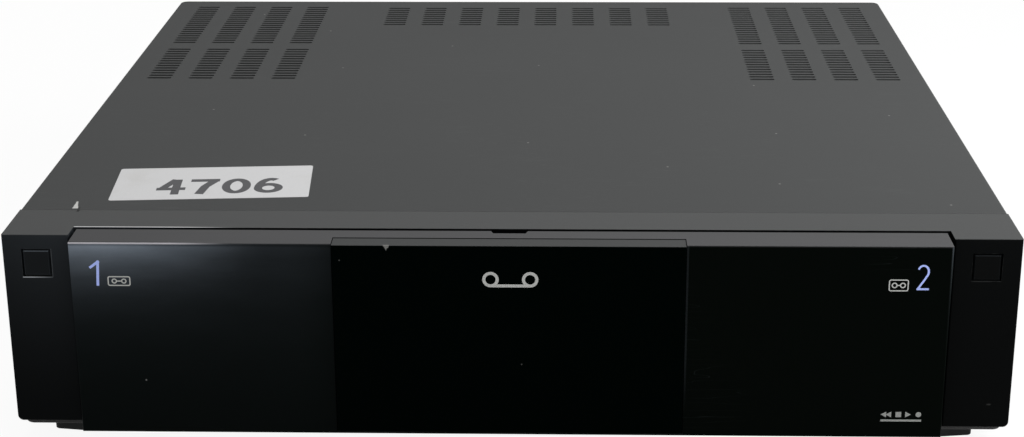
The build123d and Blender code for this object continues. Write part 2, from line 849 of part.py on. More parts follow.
def make_inner_panel():
    """The panel with both mouths, the keys' holes and the display's window."""
    half = recess_half - seat_gap
    panel = block(-half, half, panel_front_y, panel_rear_y, sill_top_z, strip_bottom_z - seat_gap)
    low, high = panel_front_y - 1, panel_rear_y + 1
    lug_y = flap_axle_y + axle_lug_thickness
    for deck in decks:
        left, right = deck.x - deck.bay_half, deck.x + deck.bay_half
        panel -= block(left, right, low, high, deck.bay_bottom_z, deck.bay_top_z)
        for x in key_places(deck):
            panel -= bar(x, key_width / 2 + key_gap, low, high, key_row_z, key_height / 2 + key_gap)
        for side in (-1, 1):
            lug_x = deck.x + side * (deck.flap_half + loose_gap + axle_lug_thickness / 2)
            panel += bar(lug_x, axle_lug_thickness / 2, panel_rear_y, lug_y, flap_axle_z, axle_lug_thickness)
            bore = rod_x(0, 0, -axle_lug_thickness, axle_lug_thickness, flap_axle_radius + running_gap)
            panel -= Pos(lug_x, flap_axle_y, flap_axle_z) * bore
    panel -= rod_y(controls_x, lower_row_z, low, high, dial_shaft_radius + loose_gap)
    for x in row_places(-controls_x, jack_count, jack_pitch):
        panel -= rod_y(x, lower_row_z, low, high, jack_radius + seat_gap)
    half_wide, half_high = display_width / 2 - display_frame, display_height / 2 - display_frame
    panel -= bar(0, half_wide, low, high, display_z, half_high)
    for x, z in board_post_places():
        panel += rod_y(x, z, panel_rear_y, board_front_y, board_post_radius)
    return panel


def board_post_places():
    """X and Z of the posts that carry the front board."""
    x = front_board_width / 2 - board_post_margin
    heights = (front_board_bottom_z + board_post_margin, front_board_top_z - board_post_margin)
    return [(side * x, z) for side in (-1, 1) for z in heights]


def make_front_board():
    """The long circuit board behind the panel."""
    half, rear = front_board_width / 2, board_front_y + board_thickness
    return block(-half, half, board_front_y, rear, front_board_bottom_z, front_board_top_z)


def make_key(x):
    """A key cap with a flange behind the panel and a stem to its switch."""
    wide, high = key_width / 2, key_height / 2
    front = panel_front_y - key_proud
    flange_y = panel_rear_y + loose_gap
    rear = flange_y + key_flange_thickness
    key = bar(x, wide, front, rear, key_row_z, high)
    key = fillet(key.faces().sort_by(Axis.Y)[0].edges(), key_edge_radius)
    key += bar(x, wide + key_flange, flange_y, rear, key_row_z, high + key_flange)
    return key + rod_y(x, key_row_z, rear, switch_front_y - key_travel - seat_gap, key_stem_radius)


def make_jog_dial():
    """Ribbed dial with a finger dimple, on a shaft that turns in the encoder."""
    rear = panel_front_y - dial_gap
    front = rear - dial_thickness
    outline = ribbed_outline(dial_radius, dial_radius - dial_rib_depth, dial_ribs)
    dial = Pos(controls_x, rear, lower_row_z) * Rot(90, 0, 0) * extrude(outline, amount=dial_thickness)
    dimple = Sphere(dial_dimple_radius)
    dial -= Pos(controls_x, front - dial_dimple_radius / 2, lower_row_z + dial_dimple_offset) * dimple
    return dial + rod_y(controls_x, lower_row_z, rear, board_front_y - dial_shaft_end_gap, dial_shaft_radius)


def make_dial_encoder():
    """The dial's rotary encoder, with a bore for its shaft."""
    half = encoder_size / 2
    front = board_front_y - encoder_height
    bore_end = board_front_y - dial_shaft_end_gap + seat_gap
    encoder = bar(controls_x, half, front, board_front_y, lower_row_z, half)
    return encoder - rod_y(controls_x, lower_row_z, front, bore_end, dial_shaft_radius + running_gap)


def make_display_tube():
    """Flat glass display between the panel and its board."""
    return bar(0, display_width / 2, panel_rear_y + display_gap, board_front_y, display_z, display_height / 2)


def make_display_lens():
    """Clear lens in the panel's window, in front of the display."""
    inset = display_frame + seat_gap
    rear = panel_rear_y + display_gap
    return bar(0, display_width / 2 - inset, panel_front_y, rear, display_z, display_height / 2 - inset)


def rear_jack_places():
    """X and Z of the phono sockets at the rear."""
    first = board_top_z + jack_body / 2
    columns = row_places(rear_jack_x, jack_count, jack_pitch)
    return [(x, first + row * jack_row_pitch) for row in range(jack_rows) for x in columns]


def make_phono_jacks():
    """Phono sockets: three in the front panel and two rows at the rear."""
    half = jack_body / 2
    depth = board_front_y - panel_rear_y
    jacks = []
    for x in row_places(-controls_x, jack_count, jack_pitch):
        tip = panel_front_y - front_jack_proud
        jack = bar(x, half, panel_rear_y, board_front_y, lower_row_z, half)
        jack += rod_y(x, lower_row_z, tip, panel_rear_y, jack_radius)
        jacks.append(jack - rod_y(x, lower_row_z, tip - 1, tip + jack_length, jack_bore_radius))
    for x, z in rear_jack_places():
        jack = bar(x, half, rear_panel_y - depth, rear_panel_y, z, half)
        jack += rod_y(x, z, rear_panel_y, rear_panel_rear_y + jack_length, jack_radius)
        jacks.append(jack - rod_y(x, z, rear_panel_rear_y - jack_length / 2, rear_edge_y, jack_bore_radius))
    return Compound(jacks)


# Tape decks


def make_flap(deck):
    """Hanging flap behind a mouth, with its axle."""
    front = panel_rear_y + loose_gap
    flap = block(
        deck.x - deck.flap_half, deck.x + deck.flap_half, front, front + flap_thickness,
        deck.flap_bottom_z, flap_axle_z,
    )
    reach = deck.flap_half + loose_gap + axle_lug_thickness
    return flap + rod_x(flap_axle_y, flap_axle_z, deck.x - reach, deck.x + reach, flap_axle_radius)


def make_holder(deck):
    """Cassette holder: top, sides, two bottom rails and a rear stop, with guide pins."""
    x, half = deck.x, deck.holder_half
    front, rear = deck.holder_front_y, deck.holder_rear_y
    bottom, floor, wide = deck.holder_bottom_z, deck.bay_bottom_z, deck.bay_half
    holder = block(x - half, x + half, front, rear, bottom, slot_top_z)
    holder -= block(x - wide, x + wide, front - 1, rear - holder_sheet, floor, deck.bay_top_z)
    wide -= holder_rail
    holder -= block(x - wide, x + wide, front - 1, rear + 1, bottom - 1, floor + 1)
    reach = half + guide_gap + guide_sheet + guide_gap
    for y in guide_pin_places(deck):
        for side in (-1, 1):
            ends = sorted((x + side * half, x + side * reach))
            holder += rod_x(y, deck.pin_z, ends[0], ends[1], guide_pin_radius)
    return holder


def guide_pin_places(deck):
    """Y of the holder's guide pins."""
    inset = guide_margin / 2 + guide_pin_radius
    return (deck.guide_front_y + inset, deck.guide_rear_y - inset)


def make_deck_plate(deck):
    """Steel plate with two folded guide walls, posts and the capstan's bearing."""
    top, bottom = deck.plate_top_z, deck.plate_bottom_z
    left, right = deck.x - deck.plate_half, deck.x + deck.plate_half
    plate = block(left, right, deck.plate_front_y, deck.plate_rear_y, bottom, top)
    slot_half = guide_pin_radius + guide_pin_gap
    slot_low, slot_high = deck.pin_z - deck.drop - slot_half, deck.pin_z + slot_half
    for side in (-1, 1):
        near = deck.x + side * (deck.holder_half + guide_gap)
        left, right = sorted((near, near + side * guide_sheet))
        wall_top = slot_top_z + guide_top_rise
        plate += block(left, right, deck.guide_front_y, deck.guide_rear_y, top, wall_top)
        for y in guide_pin_places(deck):
            plate -= block(left - 1, right + 1, y - slot_half, y + slot_half, slot_low, slot_high)
    for side in (-1, 1):
        reel_x = deck.x + side * deck.reel_spacing / 2
        plate += rod_z(reel_x, deck.reel_y, top, top + deck.spindle_height * post_share, post_radius)
    plate += rod_z(deck.gear_x, deck.gear_y, top, top + loose_gap + gear_thickness, post_radius)
    plate += rod_z(deck.pivot_x, deck.pivot_y, top, top + pivot_height, post_radius)
    bearing = deck.capstan_radius + bearing_wall
    plate += rod_z(deck.capstan_x, deck.capstan_y, top, top + bearing_height, bearing)
    return plate - bore_z(deck.capstan_x, deck.capstan_y, bottom, top + bearing_height, deck.capstan_radius)


def make_reel_hub(deck, side):
    """Reel table with a finned spindle, on its post."""
    bottom = deck.plate_top_z + loose_gap
    table = bottom + deck.spindle_height * table_share
    hub = rod_z(0, 0, bottom, table, deck.reel_radius)
    hub += rod_z(0, 0, table, bottom + deck.spindle_height, deck.spindle_radius - fin_reach)
    fin_top = bottom + deck.spindle_height - axle_end
    fin = block(0, deck.spindle_radius, -fin_thickness / 2, fin_thickness / 2, table, fin_top)
    for i in range(spindle_fins):
        hub += Rot(0, 0, i * 360 / spindle_fins) * fin
    hub -= rod_z(0, 0, bottom - 1, fin_top, post_radius + running_gap)
    return Pos(deck.x + side * deck.reel_spacing / 2, deck.reel_y, 0) * hub


def drum_place(deck):
    """The tilted place that both halves of the drum share."""
    return Pos(deck.x, deck.drum_y, deck.plate_top_z) * Rot(drum_tilt, 0, 0)


def make_drum_base(deck):
    """Fixed lower drum, cut level where it stands on the plate, with a bore for the shaft."""
    below = deck.drum_radius / 2
    base = rod_z(0, 0, -below, deck.drum_base_height, deck.drum_radius)
    base -= rod_z(0, 0, below / 2, deck.drum_base_height + 1, drum_shaft_radius + running_gap)
    reach = 2 * deck.drum_radius
    return drum_place(deck) * base - block(
        deck.x - reach, deck.x + reach, deck.drum_y - reach, deck.drum_y + reach,
        deck.plate_top_z - reach, deck.plate_top_z,
    )


def make_drum(deck):
    """Turning upper drum with its shaft and two head windows."""
    bottom = deck.drum_base_height + drum_split
    drum = rod_z(0, 0, bottom, bottom + deck.drum_height, deck.drum_radius)
    drum = fillet(drum.faces().sort_by(Axis.Z)[-1].edges(), drum_edge_radius)
    drum += rod_z(0, 0, deck.drum_radius / 4 + drum_split, bottom, drum_shaft_radius)
    half, deep = head_window_width / 2, head_window_depth
    window = block(-half, half, -deep, deep, bottom - 1, bottom + head_window_height)
    for side in (-1, 1):
        drum -= Pos(0, side * deck.drum_radius, 0) * window
    return drum_place(deck) * drum


def make_capstan(deck):
    """Capstan shaft through the plate, with its flywheel below."""
    x, y = deck.capstan_x, deck.capstan_y
    wheel_top = deck.plate_bottom_z - flywheel_gap
    wheel = rod_z(x, y, wheel_top - flywheel_thickness, wheel_top, deck.flywheel_radius)
    return wheel + rod_z(x, y, wheel_top, deck.plate_top_z + deck.capstan_height, deck.capstan_radius)


def arm_levels(deck):
    """Z of the pinch arm's underside and top."""
    bottom = deck.plate_top_z + arm_rise
    return bottom, bottom + arm_thickness


def make_pinch_arm(deck):
    """Arm on its post, with the roller's axle at its end."""
    bottom, top = arm_levels(deck)
    middle = Pos((deck.pivot_x + deck.roller_x) / 2, (deck.pivot_y + deck.roller_y) / 2, bottom)
    outline = SlotCenterToCenter(deck.arm_length, arm_width)
    arm = middle * Rot(0, 0, pinch_swing - 90) * extrude(outline, amount=arm_thickness)
    boss_top = deck.plate_top_z + pivot_height
    arm += rod_z(deck.pivot_x, deck.pivot_y, deck.plate_top_z + loose_gap, boss_top, arm_boss_radius)
    arm -= bore_z(deck.pivot_x, deck.pivot_y, deck.plate_top_z, boss_top, post_radius)
    axle_top = top + deck.roller_height + axle_end
    return arm + rod_z(deck.roller_x, deck.roller_y, top, axle_top, post_radius)


def make_pinch_roller(deck):
    """Rubber roller on the arm's axle."""
    x, y = deck.roller_x, deck.roller_y
    bottom = arm_levels(deck)[1] + loose_gap
    top = bottom + deck.roller_height
    return rod_z(x, y, bottom, top, deck.roller_radius) - bore_z(x, y, bottom, top, post_radius)


def make_cam_gear(deck):
    """Toothed gear that lowers the holder, on its post."""
    outline = ribbed_outline(deck.gear_radius, deck.gear_radius - gear_tooth_depth, gear_teeth)
    bottom = deck.plate_top_z + loose_gap
    gear = Pos(deck.gear_x, deck.gear_y, bottom) * extrude(outline, amount=gear_thickness)
    return gear - bore_z(deck.gear_x, deck.gear_y, bottom, bottom + gear_thickness, post_radius)


def make_loading_motors():
    """One motor lying on each plate, with its stub shaft."""
    motors = []
    for deck in decks:
        z = deck.plate_top_z + deck.motor_radius
        front, rear = deck.gear_y - deck.motor_length / 2, deck.gear_y + deck.motor_length / 2
        motor = rod_y(deck.motor_x, z, front, rear, deck.motor_radius)
        motors.append(motor + rod_y(deck.motor_x, z, front - deck.motor_radius, front, post_radius))
    return Compound(motors)


def make_deck_pillars():
    """Four pillars under each plate."""
    pillars = []
    for deck in decks:
        for side in (-1, 1):
            x = deck.x + side * (deck.plate_half - pillar_margin)
            for y in (deck.plate_front_y + pillar_margin, deck.plate_rear_y - pillar_margin):
                pillars.append(rod_z(x, y, tray_floor_z, deck.plate_bottom_z, pillar_radius))
    return Compound(pillars)


# Boards and sockets at the rear


def make_board(x, width, depth, parts):
    """A circuit board on its standoffs with the larger parts soldered to it."""
    half, front = width / 2, board_rear_y - depth
    board = block(x - half, x + half, front, board_rear_y, board_bottom_z, board_top_z)
    for across, from_rear, part_width, part_depth, part_height in parts:
        place = Pos(x + across, board_rear_y - from_rear, board_top_z + part_height / 2)
        board += place * Box(part_width, part_depth, part_height)
    return board


def make_transformer():
    """Laminated core with its winding, standing on the tray."""
    front = face_y + transformer_front_y
    rear = front + transformer_depth
    z = tray_floor_z + transformer_height / 2
    half, over = transformer_width / 2, winding_overhang
    core = bar(transformer_x, half, front + over, rear - over, z, transformer_height / 2)
    winding = bar(transformer_x, half - over, front, rear, z, winding_height / 2)
    return core + fillet(winding.edges().filter_by(Axis.X), winding_overhang / 2)


def make_tuner_box():
    """Screening can with two aerial sockets through the rear panel."""
    half = tuner_width / 2
    top = board_top_z + tuner_height
    can = block(tuner_x - half, tuner_x + half, rear_panel_y - tuner_depth, rear_panel_y, board_top_z, top)
    z = board_top_z + tuner_height / 2
    for x in row_places(tuner_x, 2, aerial_pitch):
        can += rod_y(x, z, rear_panel_y, rear_panel_rear_y + aerial_length, aerial_radius)
        can -= rod_y(x, z, rear_panel_rear_y, rear_edge_y, aerial_bore_radius)
    return can


def scart_places():
    """X of the audio and video sockets' middles."""
    return [scart_x + i * scart_pitch for i in range(scart_count)]


def make_scart_sockets():
    """Wide sockets with a tongue inside, standing on the board."""
    inner = rear_panel_y - scart_body_depth
    outer = rear_panel_rear_y + scart_proud
    pocket_y = outer - scart_pocket_depth
    socket = bar(0, scart_width / 2, inner, outer, scart_z, scart_height / 2)
    socket -= bar(0, scart_pocket_width / 2, pocket_y, outer + 1, scart_z, scart_pocket_height / 2)
    socket += bar(0, scart_tongue_width / 2, pocket_y, outer - 1, scart_z, scart_tongue_height / 2)
    return Compound([Pos(x, 0, 0) * socket for x in scart_places()])


def make_mains_inlet():
    """Two-pin mains inlet in the rear panel."""
    outer = rear_panel_rear_y + inlet_proud
    inlet = bar(inlet_x, inlet_width / 2, rear_panel_y - inlet_depth, outer, inlet_z, inlet_height / 2)
    pocket = SlotOverall(inlet_pocket_width, inlet_pocket_height)
    inlet -= Pos(inlet_x, outer, inlet_z) * Rot(90, 0, 0) * extrude(pocket, amount=inlet_pocket_depth)
    for x in row_places(inlet_x, 2, inlet_pin_pitch):
        inlet += rod_y(x, inlet_z, outer - inlet_pocket_depth, outer - inlet_proud, inlet_pin_radius)
    return inlet


main_parts = (servo_chip, video_chip, timer_chip, sound_chip, signal_coil, head_amplifier_can)
power_parts = (left_capacitor, right_capacitor, heat_sink)

nodes = {
    "top_cover": make_top_cover(),
    "front_bezel": make_front_bezel(),
    "bottom_tray": make_bottom_tray(),
    "feet": make_feet(),
    "rear_panel": make_rear_panel(),
    "case_screws": make_case_screws(),
    "paper_label": make_paper_label(),
    "front_door": make_front_door(),
    "door_window": make_door_window(),
    "door_hinge_pins": make_door_hinge_pins(),
    "door_magnets": make_door_magnets(),
    "left_button": make_cheek_button(-button_x),
    "right_button": make_cheek_button(button_x),
    "side_boards": make_side_boards(),
    "push_switches": make_push_switches(),
    "inner_panel": make_inner_panel(),
    "front_board": make_front_board(),
    "jog_dial": make_jog_dial(),
    "dial_encoder": make_dial_encoder(),
    "display_tube": make_display_tube(),
    "display_lens": make_display_lens(),
    "phono_jacks": make_phono_jacks(),
    "loading_motors": make_loading_motors(),
    "deck_pillars": make_deck_pillars(),
    "main_board": make_board(main_board_x, main_board_width, main_board_depth, main_parts),
    "power_board": make_board(power_board_x, power_board_width, power_board_depth, power_parts),
    "transformer": make_transformer(),
    "tuner_box": make_tuner_box(),
    "scart_sockets": make_scart_sockets(),
    "mains_inlet": make_mains_inlet(),
}
for deck in decks:
    for number, place in enumerate(key_places(deck), start=1):
        nodes[f"{deck.name}_key_{number}"] = make_key(place)
    nodes[f"{deck.name}_flap"] = make_flap(deck)
    nodes[f"{deck.name}_holder"] = make_holder(deck)
    nodes[f"{deck.name}_deck_plate"] = make_deck_plate(deck)
    nodes[f"{deck.name}_supply_hub"] = make_reel_hub(deck, -1)
    nodes[f"{deck.name}_takeup_hub"] = make_reel_hub(deck, 1)
    nodes[f"{deck.name}_drum_base"] = make_drum_base(deck)
    nodes[f"{deck.name}_drum"] = make_drum(deck)
    nodes[f"{deck.name}_capstan"] = make_capstan(deck)
    nodes[f"{deck.name}_pinch_arm"] = make_pinch_arm(deck)
    nodes[f"{deck.name}_pinch_roller"] = make_pinch_roller(deck)
    nodes[f"{deck.name}_cam_gear"] = make_cam_gear(deck)

os.makedirs("parts", exist_ok=True)
for name, shape in nodes.items():
    export_step(shape, f"parts/{name}.step")
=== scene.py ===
import json
import math

import bpy
import numpy as np
from mathutils import Matrix, Vector


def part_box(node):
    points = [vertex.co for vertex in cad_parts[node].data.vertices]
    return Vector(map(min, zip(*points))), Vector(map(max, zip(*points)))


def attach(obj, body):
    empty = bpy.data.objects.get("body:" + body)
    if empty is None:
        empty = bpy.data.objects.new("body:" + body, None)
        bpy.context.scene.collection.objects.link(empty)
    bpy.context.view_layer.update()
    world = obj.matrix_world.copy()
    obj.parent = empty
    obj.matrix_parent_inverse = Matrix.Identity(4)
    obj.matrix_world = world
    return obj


# The looks of a twin-deck tape player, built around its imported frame. Metres: X to
# the right, Y to the rear, Z up from the surface that it stands on. The finishes
# write a place as millimetres times MM. The printed and fitted pieces are drawn in
# plain millimetres, which become metres where a piece is made.

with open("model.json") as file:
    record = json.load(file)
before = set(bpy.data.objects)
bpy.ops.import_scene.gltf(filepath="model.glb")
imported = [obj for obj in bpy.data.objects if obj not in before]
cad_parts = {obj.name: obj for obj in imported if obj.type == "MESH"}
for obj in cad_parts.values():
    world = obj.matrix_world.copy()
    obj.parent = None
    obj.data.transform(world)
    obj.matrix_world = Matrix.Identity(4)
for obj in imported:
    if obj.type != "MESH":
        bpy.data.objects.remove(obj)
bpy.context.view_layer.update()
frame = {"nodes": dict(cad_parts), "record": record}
nodes = frame["nodes"]
MM = 0.001

# Places read from the frame
door_low, door_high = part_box("front_door")
window_low, window_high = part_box("door_window")
label_low, label_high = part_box("paper_label")
panel_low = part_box("inner_panel")[0]
lens_low, lens_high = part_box("display_lens")
dial_low, dial_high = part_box("jog_dial")
rear_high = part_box("rear_panel")[1]
recess_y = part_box("door_magnets")[1].y
cover_front_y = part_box("top_cover")[0].y


# Shader building blocks


class Field:
    """A value that varies over a surface. Arithmetic on it adds Math nodes to its tree."""

    def __init__(self, tree, socket):
        self.tree = tree
        self.socket = socket

    def math(self, operation, *others):
        inputs = dict(enumerate((self, *others)))
        return self.tree.node("Math", {"operation": operation}, inputs)

    def __add__(self, other):
        return self.math("ADD", other)

    def __sub__(self, other):
        return self.math("SUBTRACT", other)

    def __mul__(self, other):
        return self.math("MULTIPLY", other)

    def __pow__(self, other):
        return self.math("POWER", other)

    def __abs__(self):
        return self.math("ABSOLUTE")

    def __rsub__(self, other):
        return self.tree.node("Math", {"operation": "SUBTRACT"}, {0: other, 1: self})

    __radd__ = __add__
    __rmul__ = __mul__

    def most(self, other):
        """The larger of two values."""
        return self.math("MAXIMUM", other)

    def step(self, start, end, kind="SMOOTHSTEP"):
        """0 before start and 1 after end, where start may be the larger one."""
        inputs = {"Value": self, "From Min": start, "From Max": end}
        return self.tree.node("MapRange", {"interpolation_type": kind}, inputs)

    def ramp(self, start, end):
        """The same with a straight line in between."""
        return self.step(start, end, "LINEAR")

    def near(self, middle, half, soft):
        """1 where the value lies within half of the middle, falling to 0 over the soft edge."""
        return abs(self - middle).step(half + soft, half)

    def other(self, name):
        """Another output of the node that this value comes from."""
        return Field(self.tree, self.socket.node.outputs[name])


class Tree:
    """A node tree and the one method that adds any node to it."""

    def __init__(self, tree):
        self.tree = tree

    def put(self, socket, value):
        """Links a field to a socket, or sets a plain value on it."""
        if isinstance(value, Field):
            self.tree.links.new(value.socket, socket)
        else:
            socket.default_value = value

    def node(self, kind, settings=(), inputs=(), output=0):
        """A node: its settings are set first, then the values or links of its sockets."""
        made = self.tree.nodes.new("ShaderNode" + kind)
        for name, value in dict(settings).items():
            setattr(made, name, value)
        for name, value in dict(inputs).items():
            self.put(made.inputs[name], value)
        return Field(self, made.outputs[output])


class Finish(Tree):
    """A material: its shader and whatever varies it over the surface."""

    def __init__(self, name, roughness, settings=()):
        self.material = bpy.data.materials.new(name)
        self.material.use_nodes = True
        super().__init__(self.material.node_tree)
        self.shader = self.tree.nodes["Principled BSDF"]
        self.set("Roughness", roughness)
        for socket, value in dict(settings).items():
            self.set(socket, value)
        self.spot = self.node("TexCoord", output="Object")
        self.x, self.y, self.z = self.split(self.spot)
        self.level_plane = self.node("CombineXYZ", {}, {0: self.x, 1: self.y})
        self.front_plane = self.node("CombineXYZ", {}, {0: self.x, 1: self.z})

    def split(self, vector):
        """The three parts of a vector."""
        first = self.node("SeparateXYZ", {}, {0: vector})
        return first, first.other("Y"), first.other("Z")

    def set(self, name, value):
        """One socket of the shader."""
        self.put(self.shader.inputs[name], value)

    def noise(self, size, detail=2.0, spread=0.5, scale=(1, 1, 1), turn=0.0):
        """Cloudy noise from 0 to 1 whose lumps are about size metres across."""
        mapped = self.node("Mapping", {}, {"Vector": self.spot, "Scale": scale, "Rotation": (0, 0, turn)})
        inputs = {"Vector": mapped, "Scale": 1 / size, "Detail": detail, "Roughness": spread}
        return self.node("TexNoise", {}, inputs, "Fac")

    def specks(self, plane, pitch, radius, share):
        """Round specks on a plane: 1 inside the radius, in that share of the cells of a loose grid."""
        inputs = {"Vector": plane, "Scale": 1 / pitch}
        cells = self.node("TexVoronoi", {"voronoi_dimensions": "2D"}, inputs, "Distance")
        chance = self.split(cells.other("Color"))[0]
        return cells.step(radius / pitch, 0.5 * radius / pitch) * chance.step(share, share * 0.9)

    def hairlines(self, length, gap, turn, fineness=0.012, share=0.5):
        """Thin scratches where stretched noise crosses its middle, in patches."""
        lines = self.noise(gap, 1.0, 0.5, (gap / length, 1, 1), turn)
        patches = self.noise(length, 0.0).step(1 - share, 1.12 - share)
        return lines.near(0.5, 0.0, fineness) * patches

    def edges(self, radius):
        """Close to 1 at sharp edges and 0 on flat ground, from the normal rounded over the radius."""
        rounded = self.node("Bevel", {"samples": 4}, {"Radius": radius}, "Normal")
        flat = self.node("NewGeometry", output="True Normal")
        facing = self.node("VectorMath", {"operation": "DOT_PRODUCT"}, {0: rounded, 1: flat}, "Value")
        return facing.step(0.995, 0.8)

    def upward(self):
        """1 on faces that look up while the player stands closed, 0 on the others."""
        return self.split(self.node("TexCoord", output="Normal"))[2].step(0.7, 0.95)

    def mix(self, first, second, share):
        """A colour between two, by a field or number from 0 to 1."""
        return self.node("Mix", {"data_type": "RGBA"}, {0: share, 6: first, 7: second}, 2)

    def colour(self, base, *layers):
        """The base colour with layers over it, each a colour and the field that shows it."""
        for over, share in layers:
            base = self.mix(base, over, share)
        self.set("Base Color", base)

    def bump(self, height, depth):
        """Raises the surface by a field from 0 to 1, to depth metres."""
        self.set("Normal", self.node("Bump", {}, {"Height": height, "Distance": depth}, "Normal"))


def tone(red, green, blue):
    """A linear colour from the three numbers that a picture shows, 0 to 255."""
    parts = [value / 255 for value in (red, green, blue)]
    return (*[p / 12.92 if p <= 0.04045 else ((p + 0.055) / 1.055) ** 2.4 for p in parts], 1.0)


def scaled(colour, factor):
    """A colour made lighter or darker."""
    return (*[part * factor for part in colour[:3]], 1.0)


def fading(distance, length):
    """1 where the distance is zero, and 2.7 times less after each length."""
    return (distance * (-1 / length)).math("EXPONENT")


# Finishes


def moulded(name, colour, roughness, grain=0.3 * MM, depth=0.01 * MM, level=0.4, lift=1.6):
    """Moulded plastic or sprayed paint: a fine even grain, cloudy handling marks, paler edges."""
    made = Finish(name, roughness, {"Specular IOR Level": level})
    fine = made.noise(grain, 3.0, 0.6)
    clouds = made.noise(50 * MM, 3.0)
    worn = made.edges(0.5 * MM) * made.noise(4 * MM).step(0.4, 0.65)
    made.colour(
        made.mix(scaled(colour, 0.85), scaled(colour, 1.15), clouds),
        (scaled(colour, lift), worn),
        (scaled(colour, 1.25), fine.step(0.55, 0.75)),
    )
    made.set("Roughness", clouds * 0.1 + (roughness - 0.05) - worn * 0.08)
    made.bump(fine, depth)
    return made.material


def plated(name, colour, roughness, stretch=(1, 1, 1)):
    """Bare or plated metal with a rolled grain and faint tarnish."""
    made = Finish(name, roughness, {"Metallic": 1.0})
    grain = made.noise(0.4 * MM, 3.0, 0.6, stretch)
    tarnish = made.noise(20 * MM, 3.0)
    made.colour(
        made.mix(scaled(colour, 0.8), scaled(colour, 1.05), tarnish),
        (scaled(colour, 0.75), grain.step(0.55, 0.8)),
    )
    made.set("Roughness", tarnish * 0.15 + grain * 0.1 + (roughness - 0.12))
    made.bump(grain, 0.01 * MM)
    return made.material


def circuit_board(name, lacquer, copper):
    """Board lacquer over copper tracks that run both ways, with tinned pads."""
    made = Finish(name, 0.35)
    waves = {"Vector": made.spot, "Scale": 120.0, "Distortion": 6.0, "Detail": 0.0, "Detail Scale": 0.4}
    across = made.node("TexWave", {"bands_direction": "X"}, waves, "Fac")
    along = made.node("TexWave", {"bands_direction": "Y"}, waves, "Fac")
    choice = made.noise(20 * MM, 0.0).step(0.49, 0.51)
    tracks = (across * choice + along * (1 - choice)).step(0.55, 0.65)
    pads = made.specks(made.level_plane, 4 * MM, 0.9 * MM, 0.3)
    made.colour(made.mix(lacquer, copper, tracks * 0.5), (tone(190, 190, 185), pads))
    made.set("Metallic", pads)
    made.bump(tracks.most(pads), 0.05 * MM)
    return made.material


COVER_GREY = tone(65, 66, 66)
FLAKE_X = -191.2 * MM
FLAKE_LEAN = 0.95 * MM
FLAKE_HALF = 1.35 * MM
FLAKE_TAPER = 1.1 * MM
FLAKE_START = 1.5 * MM
FLAKE_LENGTH = 9.2 * MM
FLAKE_SOFT = 0.15 * MM
SHADOW_MARK_X = -189.6 * MM
SHADOW_MARK_START = 2.5 * MM
SHADOW_MARK_END = 4.0 * MM
LIT_EDGE_DEPTH = 0.06 * MM


def painted_cover():
    """Matt grey sheet paint: sprayed grain, a few specks, hairlines and one bare flake, with a painted
    shadow at the flake's end and a painted highlight on the front cut edge.
    """
    made = Finish("cover_paint", 0.66, {"Specular IOR Level": 0.03})
    grain = made.noise(0.5 * MM, 3.0, 0.65)
    clouds = made.noise(90 * MM, 3.0)
    dust = made.specks(made.level_plane, 58 * MM, 0.7 * MM, 0.35)
    scratches = made.hairlines(60 * MM, 4 * MM, 0.5).most(made.hairlines(50 * MM, 5 * MM, -0.9))
    worn = made.edges(0.8 * MM) * made.noise(6 * MM).step(0.4, 0.6)
    top = made.upward()
    # A flake of paint is gone beside the joint with the bezel, near the left side.
    behind = made.y - cover_front_y
    along = (behind - FLAKE_START) * (1 / FLAKE_LENGTH)
    ragged = made.noise(1.2 * MM) * (0.8 * MM) - 0.4 * MM
    across = abs(made.x - FLAKE_X + along * FLAKE_LEAN) + ragged + along * FLAKE_TAPER
    flake = across.step(FLAKE_HALF + FLAKE_SOFT, FLAKE_HALF - FLAKE_SOFT) * along.near(0.5, 0.46, 0.08) * top
    # A small painted shadow ends the flake, and the sheet's front-facing cut edge is painted pale: a painted
    # highlight where that face is in shade.
    shadow_mark = made.x.near(SHADOW_MARK_X, 0.3 * MM, 0.25 * MM) * behind.step(SHADOW_MARK_END, SHADOW_MARK_START) * top
    lit_cut_edge = behind.step(LIT_EDGE_DEPTH, 0.5 * LIT_EDGE_DEPTH) * (1 - top)
    made.colour(
        made.mix(scaled(COVER_GREY, 0.95), scaled(COVER_GREY, 1.05), clouds),
        (scaled(COVER_GREY, 1.15), grain.step(0.5, 0.8)),
        (scaled(COVER_GREY, 1.8), worn * 0.4),
        (scaled(COVER_GREY, 1.6), scratches * 0.2),
        (tone(140, 140, 136), dust * 0.7),
        (tone(190, 190, 187), flake),
        # painted shadow at the end of the flake
        (tone(20, 20, 20), shadow_mark * 0.7),
        # painted highlight on the front-facing cut edge
        (tone(130, 130, 130), lit_cut_edge),
    )
    made.set("Roughness", clouds * 0.08 + 0.62)
    made.bump(grain, 0.02 * MM)
    return made.material


BEZEL_BLACK = tone(4, 5, 5)
REFLECTION_TINT = tone(150, 160, 170)
REFLECTION_START = -100 * MM
REFLECTION_FULL = -180 * MM
REFLECTION_LOW = 10 * MM
REFLECTION_HIGH = 96 * MM
CHEEK_OUTER = -215 * MM
CHEEK_INNER = -187 * MM
RECESS_HALF = 186.5 * MM
GLINT_START = -115 * MM
GLINT_FULL = -145 * MM
SCRATCH_X = 205.8 * MM
SCRATCH_Z = 20.0 * MM
JOINT_SHADOW_X = -189.2 * MM
JOINT_SHADOW_DEPTH = 2.4 * MM
BUTTON_X = 200.7 * MM
BUTTON_Z = 82.9 * MM
BUTTON_HALF = 5.9 * MM
BUTTON_BEVEL = 0.7 * MM
RIM_MIDDLE = BUTTON_HALF + 0.6 * MM
RIM_REACH = 6.2 * MM


